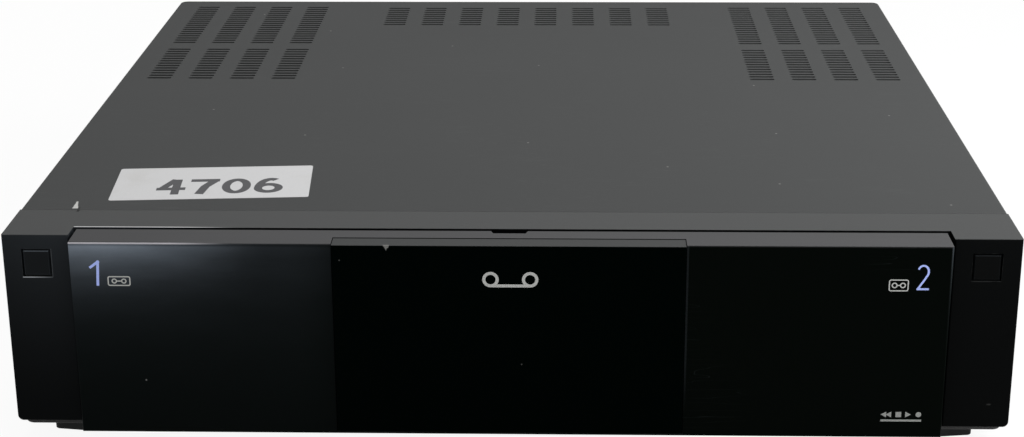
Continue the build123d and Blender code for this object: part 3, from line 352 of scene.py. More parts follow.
def bezel_plastic():
    """Fine-grained black plastic with painted sheen and dust on top, a painted reflection and a painted
    highlight towards the upper left, and a small painted shadow by the cover's flake.
    """
    made = Finish("bezel_plastic", 0.45, {"Specular IOR Level": 0.025})
    fine = made.noise(0.35 * MM, 3.0, 0.6)
    clouds = made.noise(60 * MM, 3.0)
    top = made.upward()
    worn = made.edges(0.5 * MM) * made.noise(3 * MM).step(0.42, 0.62)
    # A painted reflection in a bluish grey, strongest high up on the left, and faintly over the whole left
    # cheek.
    left = made.x.step(REFLECTION_START, REFLECTION_FULL) * (made.x.ramp(CHEEK_OUTER, CHEEK_INNER) * 0.4 + 0.75)
    rising = made.z.ramp(REFLECTION_LOW, REFLECTION_HIGH) ** 2.0
    left_reflection = (rising * (left * 0.057 + 0.003) + left * 0.0045) * (1 - top)
    # A painted highlight lies along the recess's rear edge at its left end.
    edge_glint = (made.y - recess_y).step(0.95 * MM, 0.65 * MM) * made.x.step(GLINT_START, GLINT_FULL)
    edge_glint = edge_glint * (made.x + RECESS_HALF).step(0.0, 0.3 * MM) * top
    scratch = made.x.near(SCRATCH_X, 0.7 * MM, 0.4 * MM) * made.z.near(SCRATCH_Z, 0.2 * MM, 0.25 * MM)
    # A small painted shadow on the top, in front of the end of the cover's flake.
    behind = (made.y - cover_front_y).step(-JOINT_SHADOW_DEPTH - 0.4 * MM, -JOINT_SHADOW_DEPTH)
    joint_shadow = made.x.near(JOINT_SHADOW_X, 0.4 * MM, 0.3 * MM) * behind * top
    # The rims of the left button's hole catch the light below and on the right.
    aside = made.x + BUTTON_X
    above = made.z - BUTTON_Z
    low_rim = above.near(-RIM_MIDDLE, 0.15 * MM, 0.2 * MM) * aside.near(0.0, RIM_REACH, 0.4 * MM)
    side_rim = aside.near(RIM_MIDDLE, 0.1 * MM, 0.2 * MM) * above.near(0.0, RIM_REACH, 0.4 * MM)
    rims = low_rim * aside.ramp(8 * MM, -2 * MM) + side_rim * 0.12
    made.colour(
        made.mix(scaled(BEZEL_BLACK, 0.85), scaled(BEZEL_BLACK, 1.2), clouds),
        # painted sheen and dust: the upward faces are made much paler than the black plastic
        (tone(67, 68, 68), top * (clouds * 0.1 + 0.9)),
        # painted reflection towards the upper left
        (REFLECTION_TINT, left_reflection),
        # painted highlight on the recess's rear edge
        (tone(208, 208, 210), edge_glint * 0.9),
        (tone(90, 90, 90), worn * 0.3),
        (tone(150, 154, 158), rims * (1 - top)),
        (tone(110, 110, 108), scratch * (1 - top) * 0.12),
        # painted shadow by the flake
        (tone(6, 6, 6), joint_shadow),
    )
    made.set("Roughness", clouds * 0.08 + 0.42)
    made.bump(fine, 0.012 * MM)
    return made.material


def button_plastic():
    """Satin black, with a painted reflection on the left button and painted highlights along the crest of
    each cap's bevel.
    """
    made = Finish("button_plastic", 0.45, {"Specular IOR Level": 0.03})
    fine = made.noise(0.35 * MM, 3.0, 0.6)
    clouds = made.noise(15 * MM, 3.0)
    left = made.x.step(0.1, -0.1)
    crest = BUTTON_HALF - BUTTON_BEVEL
    above = made.z - BUTTON_Z
    aside = abs(made.x) - BUTTON_X
    upper = above.near(crest + 0.1 * MM, 0.12 * MM, 0.2 * MM) * aside.near(0.0, crest, 0.2 * MM)
    lower = abs(above).near(crest, 0.05 * MM, 0.15 * MM).most(abs(aside).near(crest, 0.05 * MM, 0.15 * MM))
    made.colour(
        made.mix(tone(5, 6, 6), tone(8, 9, 9), clouds),
        # painted reflection on the left button
        (REFLECTION_TINT, left * 0.0235),
        # painted highlight round the bevel's crests
        (REFLECTION_TINT, lower * (left * 0.03 + 0.01)),
        # painted highlight on the bevel's upper crest
        (REFLECTION_TINT, upper * (left * 0.2 + 0.03)),
    )
    made.set("Roughness", clouds * 0.1 + 0.4)
    made.bump(fine, 0.01 * MM)
    return made.material


DOOR_BLACK = tone(3, 6, 4)
REFLECTION_BLUE = tone(150, 161, 174)
STRONG_REFLECTION_FADE = 7.6 * MM
STRONG_REFLECTION_START = -100 * MM
STRONG_REFLECTION_FULL = -172 * MM
FAINT_REFLECTION_FADE = 22 * MM
FAINT_REFLECTION_START = -60 * MM
FAINT_REFLECTION_FULL = -95 * MM
EDGE_LIGHT = 12 * MM


def door_plastic():
    """Polished black with hairlines and dust, a hazy coat with a painted reflection over the upper left
    part, painted sheen on the top face, and a painted highlight with painted shade along the top edge.
    """
    made = Finish("door_plastic", 0.2, {"Specular IOR Level": 0.012})
    smear = made.noise(30 * MM, 4.0, 0.6, (1, 1, 3.5))
    top = made.upward()
    below = door_high.z - made.z
    from_front = made.y - door_low.y
    # The painted reflection of the upper left is strongest close under the top edge, with a fainter part
    # that reaches lower and further right. The same mask also makes the surface rougher.
    strong_reflection = fading(below, STRONG_REFLECTION_FADE) * made.x.step(STRONG_REFLECTION_START, STRONG_REFLECTION_FULL) * 0.66
    spread = made.x.step(FAINT_REFLECTION_START, FAINT_REFLECTION_FULL) * 0.043 + made.x.step(0.0, FAINT_REFLECTION_START) * 0.008
    thin = fading(below, FAINT_REFLECTION_FADE) * spread
    film_and_reflection = (strong_reflection + thin) * (smear * 0.8 + 0.6) * (below.step(0.6 * MM, 1.8 * MM) * 0.5 + 0.5)
    reflection_veil = made.x.step(0.0, -0.1) * 0.005
    dust = made.specks(made.front_plane, 32 * MM, 0.5 * MM, 0.3)
    scratches = made.hairlines(40 * MM, 3 * MM, 0.2, 0.008, 0.4)
    # The rounded upper edge carries a painted highlight, paler on the left, between two darker lines, the
    # upper one of painted shade.
    glint_part = made.x.step(GLINT_START, GLINT_FULL)
    glint_band = below.near(0.2 * MM, 0.22 * MM, 0.12 * MM) * from_front.step(0.8 * MM, 0.5 * MM)
    shade = from_front.near(1.1 * MM, 0.4 * MM, 0.3 * MM) * top
    # The right edges of the door and of the window's joint catch a little light.
    right_edge = made.x.step(door_high.x - 0.9 * MM, door_high.x - 0.5 * MM) * fading(below, EDGE_LIGHT)
    joint_edge = made.x.near(window_high.x + 0.7 * MM, 0.3 * MM, 0.3 * MM) * made.z.step(15 * MM, 50 * MM)
    made.colour(
        DOOR_BLACK,
        # painted reflection over the upper left
        (REFLECTION_BLUE, (reflection_veil + film_and_reflection) * (1 - top)),
        # painted sheen: the top face is made grey though the plastic is black
        (tone(79, 79, 80), top * 0.95),
        # painted shade on the top face behind the edge
        (tone(60, 60, 60), shade * glint_part * 0.7),
        # painted highlight on the rounded top edge, strongest on the left
        (tone(90, 90, 92), glint_band * 0.15),
        (tone(205, 202, 208), glint_band * glint_part * 0.75),
        (REFLECTION_TINT, (right_edge * 0.13 + joint_edge * 0.028) * (1 - top)),
        (tone(60, 64, 66), scratches * 0.12),
        (tone(120, 120, 118), dust * 0.7),
    )
    made.set("Roughness", smear * 0.06 + film_and_reflection * 0.3 + top * 0.35 + 0.17)
    return made.material


CHIP_X = -51.05 * MM
CHIP_HALF = 1.5 * MM
CHIP_SLOPE = 0.66


def window_plastic():
    """Smoked plastic, so dark that it shows only gloss, dust, a small chip in its top edge and painted sheen
    on its top face.
    """
    made = Finish("window_plastic", 0.12, {"Specular IOR Level": 0.005})
    smear = made.noise(35 * MM, 4.0, 0.6, (1, 1, 2.5))
    top = made.upward()
    dust = made.specks(made.front_plane, 36 * MM, 0.4 * MM, 0.2)
    below = window_high.z - made.z
    ragged = made.noise(0.9 * MM) * (1.2 * MM) - 0.6 * MM
    chip = (abs(made.x - CHIP_X) + below * CHIP_SLOPE + ragged).step(CHIP_HALF, CHIP_HALF - 0.4 * MM)
    chip = chip * (made.y - window_low.y).step(1.2 * MM, 0.6 * MM)
    made.colour(
        tone(0, 3, 2),
        # painted sheen: the top face is made grey though the plastic is near black
        (tone(73, 74, 74), top * 0.95),
        (tone(100, 100, 98), dust * 0.5),
        (tone(125, 125, 122), chip * 0.9),
    )
    made.set("Roughness", smear * 0.06 + top * 0.4 + 0.08)
    return made.material


def clear_black(name, colour):
    """Tinted clear plastic or glass with faint smears."""
    made = Finish(name, 0.08)
    smear = made.noise(20 * MM, 4.0, 0.6)
    dust = made.specks(made.front_plane, 14 * MM, 0.25 * MM, 0.2)
    made.colour(colour, (tone(120, 120, 118), dust * 0.4))
    made.set("Roughness", smear * 0.1 + 0.05)
    return made.material


def paper():
    """Matt white paper with faint fibres and a little dirt."""
    made = Finish("label_paper", 0.85, {"Specular IOR Level": 0.1})
    fibres = made.noise(0.6 * MM, 4.0, 0.7, (1, 0.4, 1))
    dirt = made.noise(20 * MM, 3.0).step(0.55, 0.8)
    white = made.mix(tone(196, 196, 197), tone(208, 208, 208), fibres)
    made.colour(white, (tone(180, 178, 172), dirt * 0.25))
    made.bump(fibres, 0.02 * MM)
    return made.material


def wound_iron():
    """Varnished core plates seen edge on, with some wound copper showing."""
    made = Finish("core_iron", 0.5)
    waves = {"Vector": made.spot, "Scale": 300.0, "Distortion": 0.3, "Detail": 1.0}
    plates = made.node("TexWave", {"bands_direction": "Y"}, waves, "Fac")
    varnish = made.noise(10 * MM, 3.0)
    made.colour(
        made.mix(tone(44, 38, 33), tone(66, 58, 50), plates),
        (tone(90, 52, 26), varnish.step(0.5, 0.75) * 0.6),
    )
    made.bump(plates, 0.1 * MM)
    return made.material


def ink(name, colour):
    """Screen-printed ink, slightly uneven."""
    made = Finish(name, 0.5, {"Specular IOR Level": 0.1})
    thin = made.noise(0.5 * MM).step(0.45, 0.9)
    made.colour(made.mix(colour, scaled(colour, 0.8), thin))
    made.bump(thin, 0.005 * MM)
    return made.material


slot_finish = {
    "cover_paint": painted_cover(),
    "bezel_plastic": bezel_plastic(),
    "tray_steel": moulded("tray_steel", tone(62, 62, 62), 0.5, 0.5 * MM, level=0.1),
    "foot_plastic": moulded("foot_plastic", tone(48, 49, 49), 0.6, 0.4 * MM, 0.02 * MM, 0.1),
    "rear_paint": moulded("rear_paint", tone(40, 40, 41), 0.5, 0.5 * MM, 0.02 * MM, 0.2),
    "screw_steel": plated("screw_steel", tone(26, 26, 27), 0.4),
    "label_paper": paper(),
    "door_plastic": door_plastic(),
    "window_plastic": window_plastic(),
    "plain_steel": plated("plain_steel", tone(185, 185, 187), 0.3),
    "button_plastic": button_plastic(),
    "board_green": circuit_board("board_green", tone(24, 84, 46), tone(60, 130, 70)),
    "board_brown": circuit_board("board_brown", tone(120, 88, 52), tone(150, 105, 60)),
    "part_black": moulded("part_black", tone(26, 26, 27), 0.45),
    "panel_plastic": moulded("panel_plastic", tone(34, 35, 36), 0.45, level=0.2),
    "dial_plastic": moulded("dial_plastic", tone(46, 47, 49), 0.35),
    "display_glass": clear_black("display_glass", tone(22, 34, 34)),
    "lens_plastic": clear_black("lens_plastic", tone(14, 19, 20)),
    "socket_metal": plated("socket_metal", tone(200, 198, 190), 0.25),
    "core_iron": wound_iron(),
    "tin_plate": plated("tin_plate", tone(170, 172, 172), 0.4, (1, 6, 1)),
    "key_plastic": moulded("key_plastic", tone(58, 59, 62), 0.4),
    "flap_plastic": moulded("flap_plastic", tone(24, 25, 26), 0.35),
    "gear_plastic": moulded("gear_plastic", tone(215, 213, 204), 0.4),
    "drum_aluminium": plated("drum_aluminium", tone(215, 216, 220), 0.2, (1, 1, 12)),
    "roller_rubber": moulded("roller_rubber", tone(22, 22, 22), 0.75, depth=0.02 * MM, level=0.2),
}
for row in frame["record"]["subparts"]:
    shown = nodes[row["node"]]
    shown.data.materials.clear()
    shown.data.materials.append(slot_finish[row["material_slot"]])


# Surfaces worked out from a few numbers

PRINT_THICKNESS = 0.02
STAGGER = 0.05


def bars_along(paths, thickness=PRINT_THICKNESS):
    """Flat bars: a rectangle carried along each path in (u, v), as wide as the path says at each point.

    A path is rows of u, v and width. Each row gives four corners: the point plus and minus half the
    width along the path's normal, at w = 0 and at w = thickness. Neighbouring rows are joined by four
    faces and both ends are capped. Each bar is a hair higher than the one before, so that no two
    tops lie in one plane.
    """
    corners, faces, first = [], [], 0
    for index, path in enumerate(paths):
        path = np.asarray(path, float)
        along = np.gradient(path[:, :2], axis=0)
        if len(path) > 2 and np.allclose(path[0], path[-1]):
            along[0] = along[-1] = path[1, :2] - path[-2, :2]
        along /= np.linalg.norm(along, axis=1, keepdims=True)
        normal = np.stack([-along[:, 1], along[:, 0]], axis=1) * path[:, 2:3] / 2
        left, right = path[:, :2] + normal, path[:, :2] - normal
        low = np.zeros((len(path), 1))
        high = low + thickness * (1 + STAGGER * index)
        rings = [np.hstack(pair) for pair in ((left, low), (right, low), (right, high), (left, high))]
        corners.append(np.stack(rings, axis=1).reshape(-1, 3))
        start = first + 4 * np.arange(len(path) - 1)[:, None]
        side = np.arange(4)[None, :]
        turn = (side + 1) % 4
        quads = np.stack([start + side, start + 4 + side, start + 4 + turn, start + turn], axis=-1)
        faces += quads.reshape(-1, 4).tolist()
        last = first + 4 * (len(path) - 1)
        faces += [[first, first + 1, first + 2, first + 3], [last + 3, last + 2, last + 1, last]]
        first += 4 * len(path)
    return np.concatenate(corners), faces


def collar(inner, outer, height, steps=40):
    """A flat ring: a rectangle from the inner to the outer radius turned once round w."""
    angle = np.linspace(0, 2 * np.pi, steps, endpoint=False)[:, None]
    radius = np.array([[inner, outer, outer, inner]])
    level = np.array([[0.0, 0.0, height, height]]) + 0 * angle
    corners = np.stack([radius * np.cos(angle), radius * np.sin(angle), level], axis=-1).reshape(-1, 3)
    start = 4 * np.arange(steps)[:, None]
    after = (start + 4) % (4 * steps)
    side = np.arange(4)[None, :]
    turn = (side + 1) % 4
    faces = np.stack([start + side, after + side, after + turn, start + turn], axis=-1).reshape(-1, 4)
    return corners, faces.tolist()


def plate(outline, thickness):
    """A flat plate: the outline in (u, v) at w = 0 and at w = thickness, joined round its edge."""
    count = len(outline)
    low = np.hstack([outline, np.zeros((count, 1))])
    high = low + (0, 0, thickness)
    start = np.arange(count)
    after = (start + 1) % count
    sides = np.stack([start, after, after + count, start + count], axis=-1).tolist()
    return np.concatenate([low, high]), sides + [start[::-1].tolist(), (start + count).tolist()]


def joined(parts):
    """Several surfaces as one list of corners and faces."""
    corners, faces, first = [], [], 0
    for more_corners, more_faces in parts:
        corners.append(more_corners)
        faces += [[first + corner for corner in face] for face in more_faces]
        first += len(more_corners)
    return np.concatenate(corners), faces


def arc(u, v, radius_u, radius_v, angle, width):
    """Part of an ellipse through the given angles."""
    return np.stack([u + radius_u * np.cos(angle), v + radius_v * np.sin(angle), width + 0 * angle], axis=1)


def ring(u, v, radius, width, steps=28):
    """A circle of constant width, met end to end."""
    return arc(u, v, radius, radius, np.linspace(0, 2 * np.pi, steps + 1), width)


def runs(points, width):
    """Straight runs of constant width, each half a width longer at both ends."""
    points = np.asarray(points, float)
    paths = []
    for start, end in zip(points[:-1], points[1:]):
        step = (end - start) / np.linalg.norm(end - start) * width / 2
        paths.append([(*(start - step), width), (*(end + step), width)])
    return paths


def disc(u, v, radius, steps=16):
    """A filled disc: a path across it whose width is the chord there."""
    height = -radius * np.cos(np.linspace(0.05, np.pi - 0.05, steps))
    chord = 2 * np.sqrt(radius**2 - height**2)
    return np.stack([u + 0 * height, v + height, chord], axis=1)


def triangle(u, v, size, way):
    """A filled triangle of that length which points to +u or -u."""
    return [(u - way * size / 2, v, size * 1.1), (u + way * size / 2, v, size * 0.02)]


def square(u, v, size):
    """A filled square."""
    return [(u - size / 2, v, size), (u + size / 2, v, size)]


def rounded_box(u, v, width, height, radius, stroke):
    """The outline of a rectangle with round corners, as one closed path."""
    quarter = np.linspace(0, np.pi / 2, 6)
    points = []
    for turn, (side_u, side_v) in enumerate(((1, 1), (-1, 1), (-1, -1), (1, -1))):
        middle_u = u + side_u * (width / 2 - radius)
        middle_v = v + side_v * (height / 2 - radius)
        points.append(arc(middle_u, middle_v, radius, radius, quarter + turn * np.pi / 2, stroke))
    return np.concatenate(points + [points[0][:1]])


def placed(paths, u, v, size):
    """Paths drawn at unit size, moved to (u, v) and made larger, their widths too."""
    return [np.asarray(path, float) * size + (u, v, 0) for path in paths]


# Printed and small fitted pieces, each sunk a hair into the surface that carries it

SUNK = 0.01


def piece(name, corners, faces, material, body):
    """A mesh in its place, with its normals outwards, that rides on a body."""
    mesh = bpy.data.meshes.new(name)
    mesh.from_pydata((np.asarray(corners, float) * MM).tolist(), [], faces)
    mesh.materials.append(material)
    mesh.validate()
    made = bpy.data.objects.new(name, mesh)
    bpy.context.scene.collection.objects.link(made)
    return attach(made, body)


def on_front(corners, y):
    """From (u, v, w) to a face that looks forwards: u is X, v is Z and w goes towards -Y."""
    return np.stack([corners[:, 0], y + SUNK - corners[:, 2], corners[:, 1]], axis=1)


def on_rear(corners, y):
    """From (u, v, w) to a face that looks backwards: u is -X, v is Z and w goes towards +Y."""
    return np.stack([-corners[:, 0], y - SUNK + corners[:, 2], corners[:, 1]], axis=1)


def print_front(name, paths, y, material, body):
    """A printed mark on a face that looks forwards."""
    corners, faces = bars_along(paths)
    return piece(name, on_front(corners, y), faces, material, body)


ink_grey = ink("ink_grey", tone(186, 187, 184))
ink_blue = ink("ink_blue", tone(176, 192, 255))
ink_soft = ink("ink_soft", tone(150, 152, 149))
ink_dark = ink("ink_dark", tone(52, 52, 55))
ink_pale = ink("ink_pale", tone(205, 206, 204))
ink_teal = ink("ink_teal", tone(46, 66, 66))

ONE_STROKE = 0.1
TWO_STROKE = 0.075


def draw_one():
    """A plain 1: a short flag and a stem that leans a little."""
    top = 0.5 - ONE_STROKE / 2
    flag = runs([(-0.25, 0.24), (0.03, top)], ONE_STROKE)
    return flag + runs([(0.03, top), (-0.025, -top)], ONE_STROKE)


def draw_two():
    """A thin plain 2: an arc, a slanting neck and a foot."""
    top = 0.5 - TWO_STROKE / 2
    head = arc(-0.013, 0.22, 0.194, top - 0.22, np.radians(np.linspace(158, -28, 20)), TWO_STROKE)
    neck = np.array([(0.017, -0.14, TWO_STROKE), (-0.194, -top, TWO_STROKE)])
    return [np.concatenate([head, neck])] + runs([(-0.194, -top), (0.185, -top)], TWO_STROKE)


SIGN_CORNER = 0.7
SIGN_STROKE = 0.5


def tape_sign(u, v, width, height, reel):
    """A cassette drawn plainly: its outline, two reels and the tape between them."""
    spread = width * 0.22
    return [
        rounded_box(u, v, width, height, SIGN_CORNER, SIGN_STROKE),
        ring(u - spread, v, reel, SIGN_STROKE),
        ring(u + spread, v, reel, SIGN_STROKE),
        [(u - spread + reel, v, SIGN_STROKE), (u + spread - reel, v, SIGN_STROKE)],
    ]


def reel_sign(u, v, radius, spread, stroke):
    """Two reels joined by the tape below them."""
    return [
        ring(u - spread, v, radius, stroke),
        ring(u + spread, v, radius, stroke),
        [(u - spread, v - radius, stroke), (u + spread, v - radius, stroke)],
    ]


def wind_sign(u, v, size, way):
    """Two triangles in a row."""
    return [triangle(u - size * 0.45, v, size, way), triangle(u + size * 0.45, v, size, way)]


numeral_one = draw_one()
numeral_two = draw_two()
door_y = door_low.y / MM
window_y = window_low.y / MM
panel_y = panel_low.y / MM
rear_y = rear_high.y / MM
ONE_X = -172.9
TWO_X = 172.75
NUMERAL_Z = 81.6
NUMERAL_SIZE = 11.3
SMALL_TAPE = {"u": -164.1, "v": 78.1, "width": 9.2, "height": 3.9, "reel": 0.9}
LARGE_TAPE = {"u": 162.7, "v": 78.0, "width": 7.8, "height": 4.8, "reel": 1.0}
REELS = {"u": 0.75, "v": 80.0, "radius": 2.8, "spread": 8.3, "stroke": 1.3}
TRANSPORT_SIZE = 2.4
TRANSPORT_Z = 18.9
REWIND_X = 160.7
STOP_X = 166.0
PLAY_X = 170.1
RECORD_X = 174.5
UNDERLINE_ENDS = (158.5, 175.8)
UNDERLINE_Z = 16.1
UNDERLINE_WIDTH = 0.9


def make_door_prints():
    """The deck numbers, the tape signs and the transport signs on the front of the door."""
    one = placed(numeral_one, ONE_X, NUMERAL_Z, NUMERAL_SIZE)
    two = placed(numeral_two, TWO_X, NUMERAL_Z, NUMERAL_SIZE)
    print_front("numeral_1", one, door_y, ink_blue, "door")
    print_front("numeral_2", two, door_y, ink_blue, "door")
    print_front("small_tape_sign", tape_sign(**SMALL_TAPE), door_y, ink_grey, "door")
    print_front("large_tape_sign", tape_sign(**LARGE_TAPE), door_y, ink_grey, "door")
    print_front("reel_sign", reel_sign(**REELS), window_y, ink_grey, "door")
    lower = wind_sign(REWIND_X, TRANSPORT_Z, TRANSPORT_SIZE, -1) + [
        square(STOP_X, TRANSPORT_Z, TRANSPORT_SIZE),
        triangle(PLAY_X, TRANSPORT_Z, TRANSPORT_SIZE, 1),
        disc(RECORD_X, TRANSPORT_Z, TRANSPORT_SIZE / 2),
        [(end, UNDERLINE_Z, UNDERLINE_WIDTH) for end in UNDERLINE_ENDS],
    ]
    print_front("transport_signs", lower, door_y, ink_soft, "door")


DIGIT_HALF_WIDTH = 4.65
DIGIT_HALF_HEIGHT = 8.65
DIGIT_STROKE = 3.7
DIGIT_PITCH = 14.6
DIGITS_SHIFT = (3.7, -5.4)
LABEL_TURN = math.radians(4.1)


def bold_digit(digit, u):
    """The strokes of one bold digit about (u, 0)."""
    w, h, s = DIGIT_HALF_WIDTH, DIGIT_HALF_HEIGHT, DIGIT_STROKE
    whole = np.linspace(0, 2 * np.pi, 33)
    if digit == "4":
        bar = -0.3 * h
        return [
            [(u + 1.2, h + s / 2, s), (u - w + 0.4, bar, s)],
            [(u - w - s / 2, bar, s), (u + w + s / 2, bar, s)],
            [(u + 2.2, h + s / 2, s), (u + 2.2, -h - s / 2, s)],
        ]
    if digit == "7":
        return [
            [(u - w - s / 2, h, s), (u + w + s / 2, h, s)],
            [(u + w - 0.2, h, s * 1.15), (u + 0.6, 0.0, s * 1.1), (u - 1.4, -h - s / 2, s * 1.1)],
        ]
    if digit == "0":
        return [arc(u, 0, w, h, whole, s)]
    bowl = -0.42 * h
    back = np.radians(np.linspace(180, 66, 20))
    return [
        arc(u, bowl, w, h + bowl, whole, s),
        arc(u + 0.7, bowl, w + 0.7, h - bowl, back, s),
    ]


def make_label_digits(text):
    """Bold digits on the paper label, turned with it."""
    paths = []
    for index, digit in enumerate(text):
        paths += bold_digit(digit, (index - (len(text) - 1) / 2) * DIGIT_PITCH)
    corners, faces = bars_along(paths)
    across, along = math.cos(LABEL_TURN), math.sin(LABEL_TURN)
    turn = np.array([[across, along], [-along, across]])
    middle = (label_low + label_high) / (2 * MM)
    flat = (corners[:, :2] + DIGITS_SHIFT) @ turn + np.array(middle[:2])
    height = label_high.z / MM - SUNK + corners[:, 2:3]
    return piece("label_digits", np.hstack([flat, height]), faces, ink_dark, "case")


KEY_SIGN = 3.0


def make_key_signs():
    """Rewind, play, wind and stop signs on the keys of both decks."""
    for deck in ("mini", "vhs"):
        for number in range(1, 5):
            low, high = (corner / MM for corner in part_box(f"{deck}_key_{number}"))
            u, v = (low.x + high.x) / 2, (low.z + high.z) / 2
            paths = {
                1: wind_sign(u, v, KEY_SIGN, -1),
                2: [triangle(u, v, KEY_SIGN * 1.2, 1)],
                3: wind_sign(u, v, KEY_SIGN, 1),
                4: [square(u, v, KEY_SIGN)],
            }[number]
            print_front(f"{deck}_key_sign_{number}", paths, low.y, ink_pale, f"{deck}_key_{number}")


DIAL_TICKS = 13
DIAL_SWEEP = 220.0
TICK_GAP = 2.0
TICK_LENGTH = 1.8
TICK_WIDTH = 0.5
LONG_TICK = 1.5
MOUTH_NUMERAL = 5.0


def make_panel_prints():
    """Ticks round the upper part of the dial, longer at both ends and the middle, and deck numbers."""
    middle = (dial_low + dial_high) / (2 * MM)
    start = (dial_high.x - dial_low.x) / (2 * MM) + TICK_GAP
    paths = []
    for index, degrees in enumerate(np.linspace(-DIAL_SWEEP / 2, DIAL_SWEEP / 2, DIAL_TICKS)):
        length = TICK_LENGTH * (LONG_TICK if index % 6 == 0 else 1.0)
        out = np.array([math.sin(math.radians(degrees)), math.cos(math.radians(degrees))])
        ends = [np.array([middle.x, middle.z]) + out * reach for reach in (start, start + length)]
        paths.append([(*end, TICK_WIDTH) for end in ends])
    print_front("dial_scale", paths, panel_y, ink_pale, "case")
    for number, numeral, deck in ((1, numeral_one, "mini"), (2, numeral_two, "vhs")):
        low, high = (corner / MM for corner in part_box(f"{deck}_flap"))
        beside = placed(numeral, low.x - MOUTH_NUMERAL * 0.6, (low.z + high.z) / 2, MOUTH_NUMERAL)
        print_front(f"mouth_numeral_{number}", beside, panel_y, ink_pale, "case")


SEGMENT_LENGTH = 5.6
SEGMENT_WIDTH = 0.9
SEGMENT_PITCH = 10.5
SEGMENT_GROUP_GAP = 4.0
SEGMENT_LEAN = 0.12
SEGMENT_END = 0.55
COLON_RISE = 2.6
COLON_SIZE = 1.0


def seven_segments(u, v):
    """All seven segments of one display digit, which lean a little."""
    half, tall = SEGMENT_LENGTH / 2, SEGMENT_LENGTH
    ends = [((-half, level), (half, level)) for level in (-tall, 0, tall)]
    ends += [((side, low), (side, low + tall)) for side in (-half, half) for low in (-tall, 0)]
    paths = []
    for start, stop in ends:
        start, stop = np.array(start, float), np.array(stop, float)
        step = (stop - start) / np.linalg.norm(stop - start) * SEGMENT_END
        points = np.array([start + step, stop - step])
        paths.append([(u + a + SEGMENT_LEAN * b, v + b, SEGMENT_WIDTH) for a, b in points])
    return paths


def make_display_digits():
    """Six unlit digits in three pairs, with colons between the pairs, on the display's lens."""
    middle = (lens_low + lens_high) / (2 * MM)
    paths = []
    for index in range(6):
        across = (index - 2.5) * SEGMENT_PITCH + (index // 2 - 1) * SEGMENT_GROUP_GAP
        paths += seven_segments(middle.x + across, middle.z)
    for colon in (-0.5, 0.5):
        across = colon * (2 * SEGMENT_PITCH + SEGMENT_GROUP_GAP)
        for level in (-COLON_RISE, COLON_RISE):
            paths.append(square(middle.x + across, middle.z + level, COLON_SIZE))
    return print_front("display_digits", paths, lens_low.y / MM, ink_teal, "case")


JACK_RADIUS = 4.15
JACK_PITCH = 18.0
FRONT_JACKS = (-128.0, 28.0)
REAR_JACKS = (136.0, 21.1)
REAR_JACK_ROW = 15.0
COLLAR_WIDTH = 1.5
COLLAR_HEIGHT = 0.9
COLLAR_OVERLAP = 0.05


def make_jack_collars():
    """Coloured collars round the phono sockets: one colour for each column of picture and sound."""
    colours = (("yellow", tone(214, 170, 20)), ("white", tone(214, 214, 210)), ("red", tone(176, 26, 28)))
    shape, faces = collar(JACK_RADIUS - COLLAR_OVERLAP, JACK_RADIUS + COLLAR_WIDTH, COLLAR_HEIGHT)
    for index, (name, colour) in enumerate(colours):
        across = (index - 1) * JACK_PITCH
        parts = [(on_front(shape + (FRONT_JACKS[0] + across, FRONT_JACKS[1], 0), panel_y), faces)]
        for row in range(2):
            place = (-REAR_JACKS[0] - across, REAR_JACKS[1] + row * REAR_JACK_ROW, 0)
            parts.append((on_rear(shape + place, rear_y), faces))
        corners, all_faces = joined(parts)
        finish = moulded(f"collar_{name}", colour, 0.4, lift=1.2)
        piece(f"jack_collars_{name}", corners, all_faces, finish, "case")


PLATE_PLACE = (70.0, 30.0)
PLATE_SIZE = (46.0, 22.0)
PLATE_CORNER = 1.5
PLATE_THICKNESS = 0.3


def make_rear_plate():
    """A bare plate where such a machine carries its rating."""
    outline = rounded_box(*PLATE_PLACE, *PLATE_SIZE, PLATE_CORNER, 0)[:-1, :2]
    corners, faces = plate(outline, PLATE_THICKNESS)
    finish = plated("rear_plate", tone(150, 151, 152), 0.42, (8, 1, 1))
    return piece("bare_rear_plate", on_rear(corners, rear_y), faces, finish, "case")


make_door_prints()
make_label_digits("4706")
make_key_signs()
make_panel_prints()
make_display_digits()
make_jack_collars()
make_rear_plate()


# Floor, light and camera

SHOWN_WHITE = 0.92
FLOOR_HALF = 6.0


def make_floor():
    """One large pale square. Seen by the camera or in a reflection it is partly plain white."""
    sides = ((-1, -1), (1, -1), (1, 1), (-1, 1))
    corners = [(side_x * FLOOR_HALF, side_y * FLOOR_HALF, 0) for side_x, side_y in sides]
    mesh = bpy.data.meshes.new("floor")
    mesh.from_pydata(corners, [], [(0, 1, 2, 3)])
    made = Finish("floor_white", 0.9, {"Specular IOR Level": 0.0})
    made.colour(made.mix(tone(252, 252, 252), tone(254, 254, 254), made.noise(300 * MM)))
    white = made.node("Emission", {}, {"Color": (1, 1, 1, 1), "Strength": 1.0})
    shader = Field(made, made.shader.outputs[0])
    both = made.node("MixShader", {}, {0: seen_directly(made) * SHOWN_WHITE, 1: shader, 2: white})
    made.put(made.tree.nodes["Material Output"].inputs["Surface"], both)
    mesh.materials.append(made.material)
    floor = bpy.data.objects.new("floor", mesh)
    bpy.context.scene.collection.objects.link(floor)


def seen_directly(tree):
    """1 for what the camera sees, also in a reflection or through glass, and 0 for light on objects."""
    rays = tree.node("LightPath", output="Is Camera Ray")
    return rays.most(rays.other("Is Glossy Ray")).most(rays.other("Is Transmission Ray"))


AMBIENT = 0.46
KEY_LEVEL = 0.27
KEY_ELEVATION = 45.0
KEY_SPREAD = 30.0
SIDE_LEVEL = 0.46
SIDE_PLACE = Vector((0.65, -0.15, 0.45))
SIDE_SIZE = 0.5


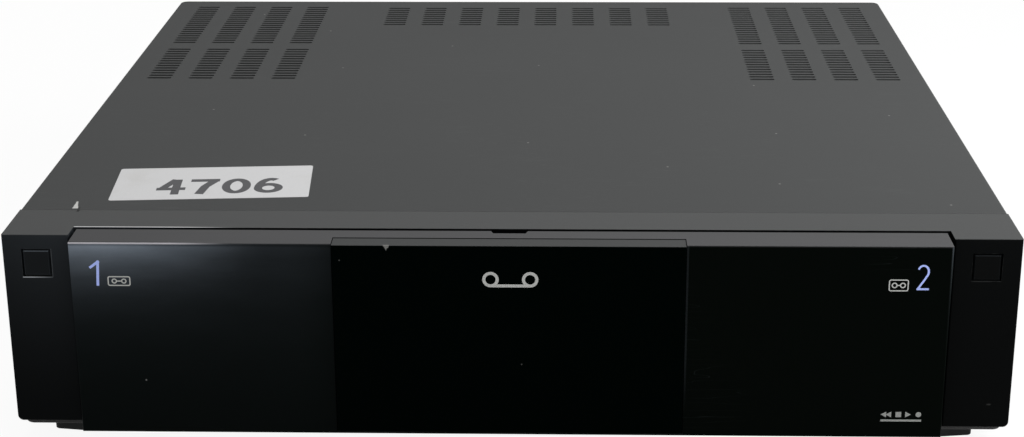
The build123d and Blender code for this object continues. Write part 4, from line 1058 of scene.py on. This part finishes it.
def make_lamp(name, kind, towards):
    """A lamp that shines from that direction."""
    data = bpy.data.lights.new(name, kind)
    lamp = bpy.data.objects.new(name, data)
    bpy.context.scene.collection.objects.link(lamp)
    lamp.rotation_mode = "QUATERNION"
    lamp.rotation_quaternion = towards.to_track_quat("Z", "Y")
    return lamp


def make_light():
    """Even light from all round, a soft key from behind and a soft lamp on the right."""
    world = bpy.data.worlds.new("studio")
    bpy.context.scene.world = world
    world.use_nodes = True
    around = Tree(world.node_tree)
    ground = world.node_tree.nodes["Background"]
    around.put(ground.inputs["Color"], (1, 1, 1, 1))
    around.put(ground.inputs["Strength"], seen_directly(around) * (1 - AMBIENT) + AMBIENT)
    elevation = math.radians(KEY_ELEVATION)
    key = make_lamp("key", "SUN", Vector((0, math.cos(elevation), math.sin(elevation))))
    key.data.energy = KEY_LEVEL * math.pi / math.sin(elevation)
    key.data.angle = math.radians(KEY_SPREAD)
    side = make_lamp("side", "AREA", SIDE_PLACE)
    side.location = SIDE_PLACE
    side.data.size = SIDE_SIZE
    rise = SIDE_PLACE.z / SIDE_PLACE.length
    side.data.energy = SIDE_LEVEL * math.pi**2 * SIDE_PLACE.length_squared / rise


FOCAL_PIXELS = 2016.85
PICTURE_WIDTH = 1024
CAMERA_PLACE = (23.72 * MM, -1002.37 * MM, 386.36 * MM)
CAMERA_DOWN = 19.5516
CAMERA_LEFT = 1.6134
CAMERA_ROLL = -0.2813
SENSOR_WIDTH = 36.0


def make_camera():
    """The photograph's view point, lens and tilt."""
    data = bpy.data.cameras.new("camera")
    data.sensor_width = SENSOR_WIDTH
    data.lens = FOCAL_PIXELS * SENSOR_WIDTH / PICTURE_WIDTH
    data.clip_start, data.clip_end = 0.05, 50.0
    camera = bpy.data.objects.new("camera", data)
    bpy.context.scene.collection.objects.link(camera)
    camera.matrix_world = (
        Matrix.Translation(CAMERA_PLACE)
        @ Matrix.Rotation(math.radians(CAMERA_LEFT), 4, "Z")
        @ Matrix.Rotation(math.radians(90 - CAMERA_DOWN), 4, "X")
        @ Matrix.Rotation(math.radians(CAMERA_ROLL), 4, "Z")
    )
    bpy.context.scene.camera = camera


make_floor()
make_light()
make_camera()
bpy.context.scene.view_settings.view_transform = "Standard"
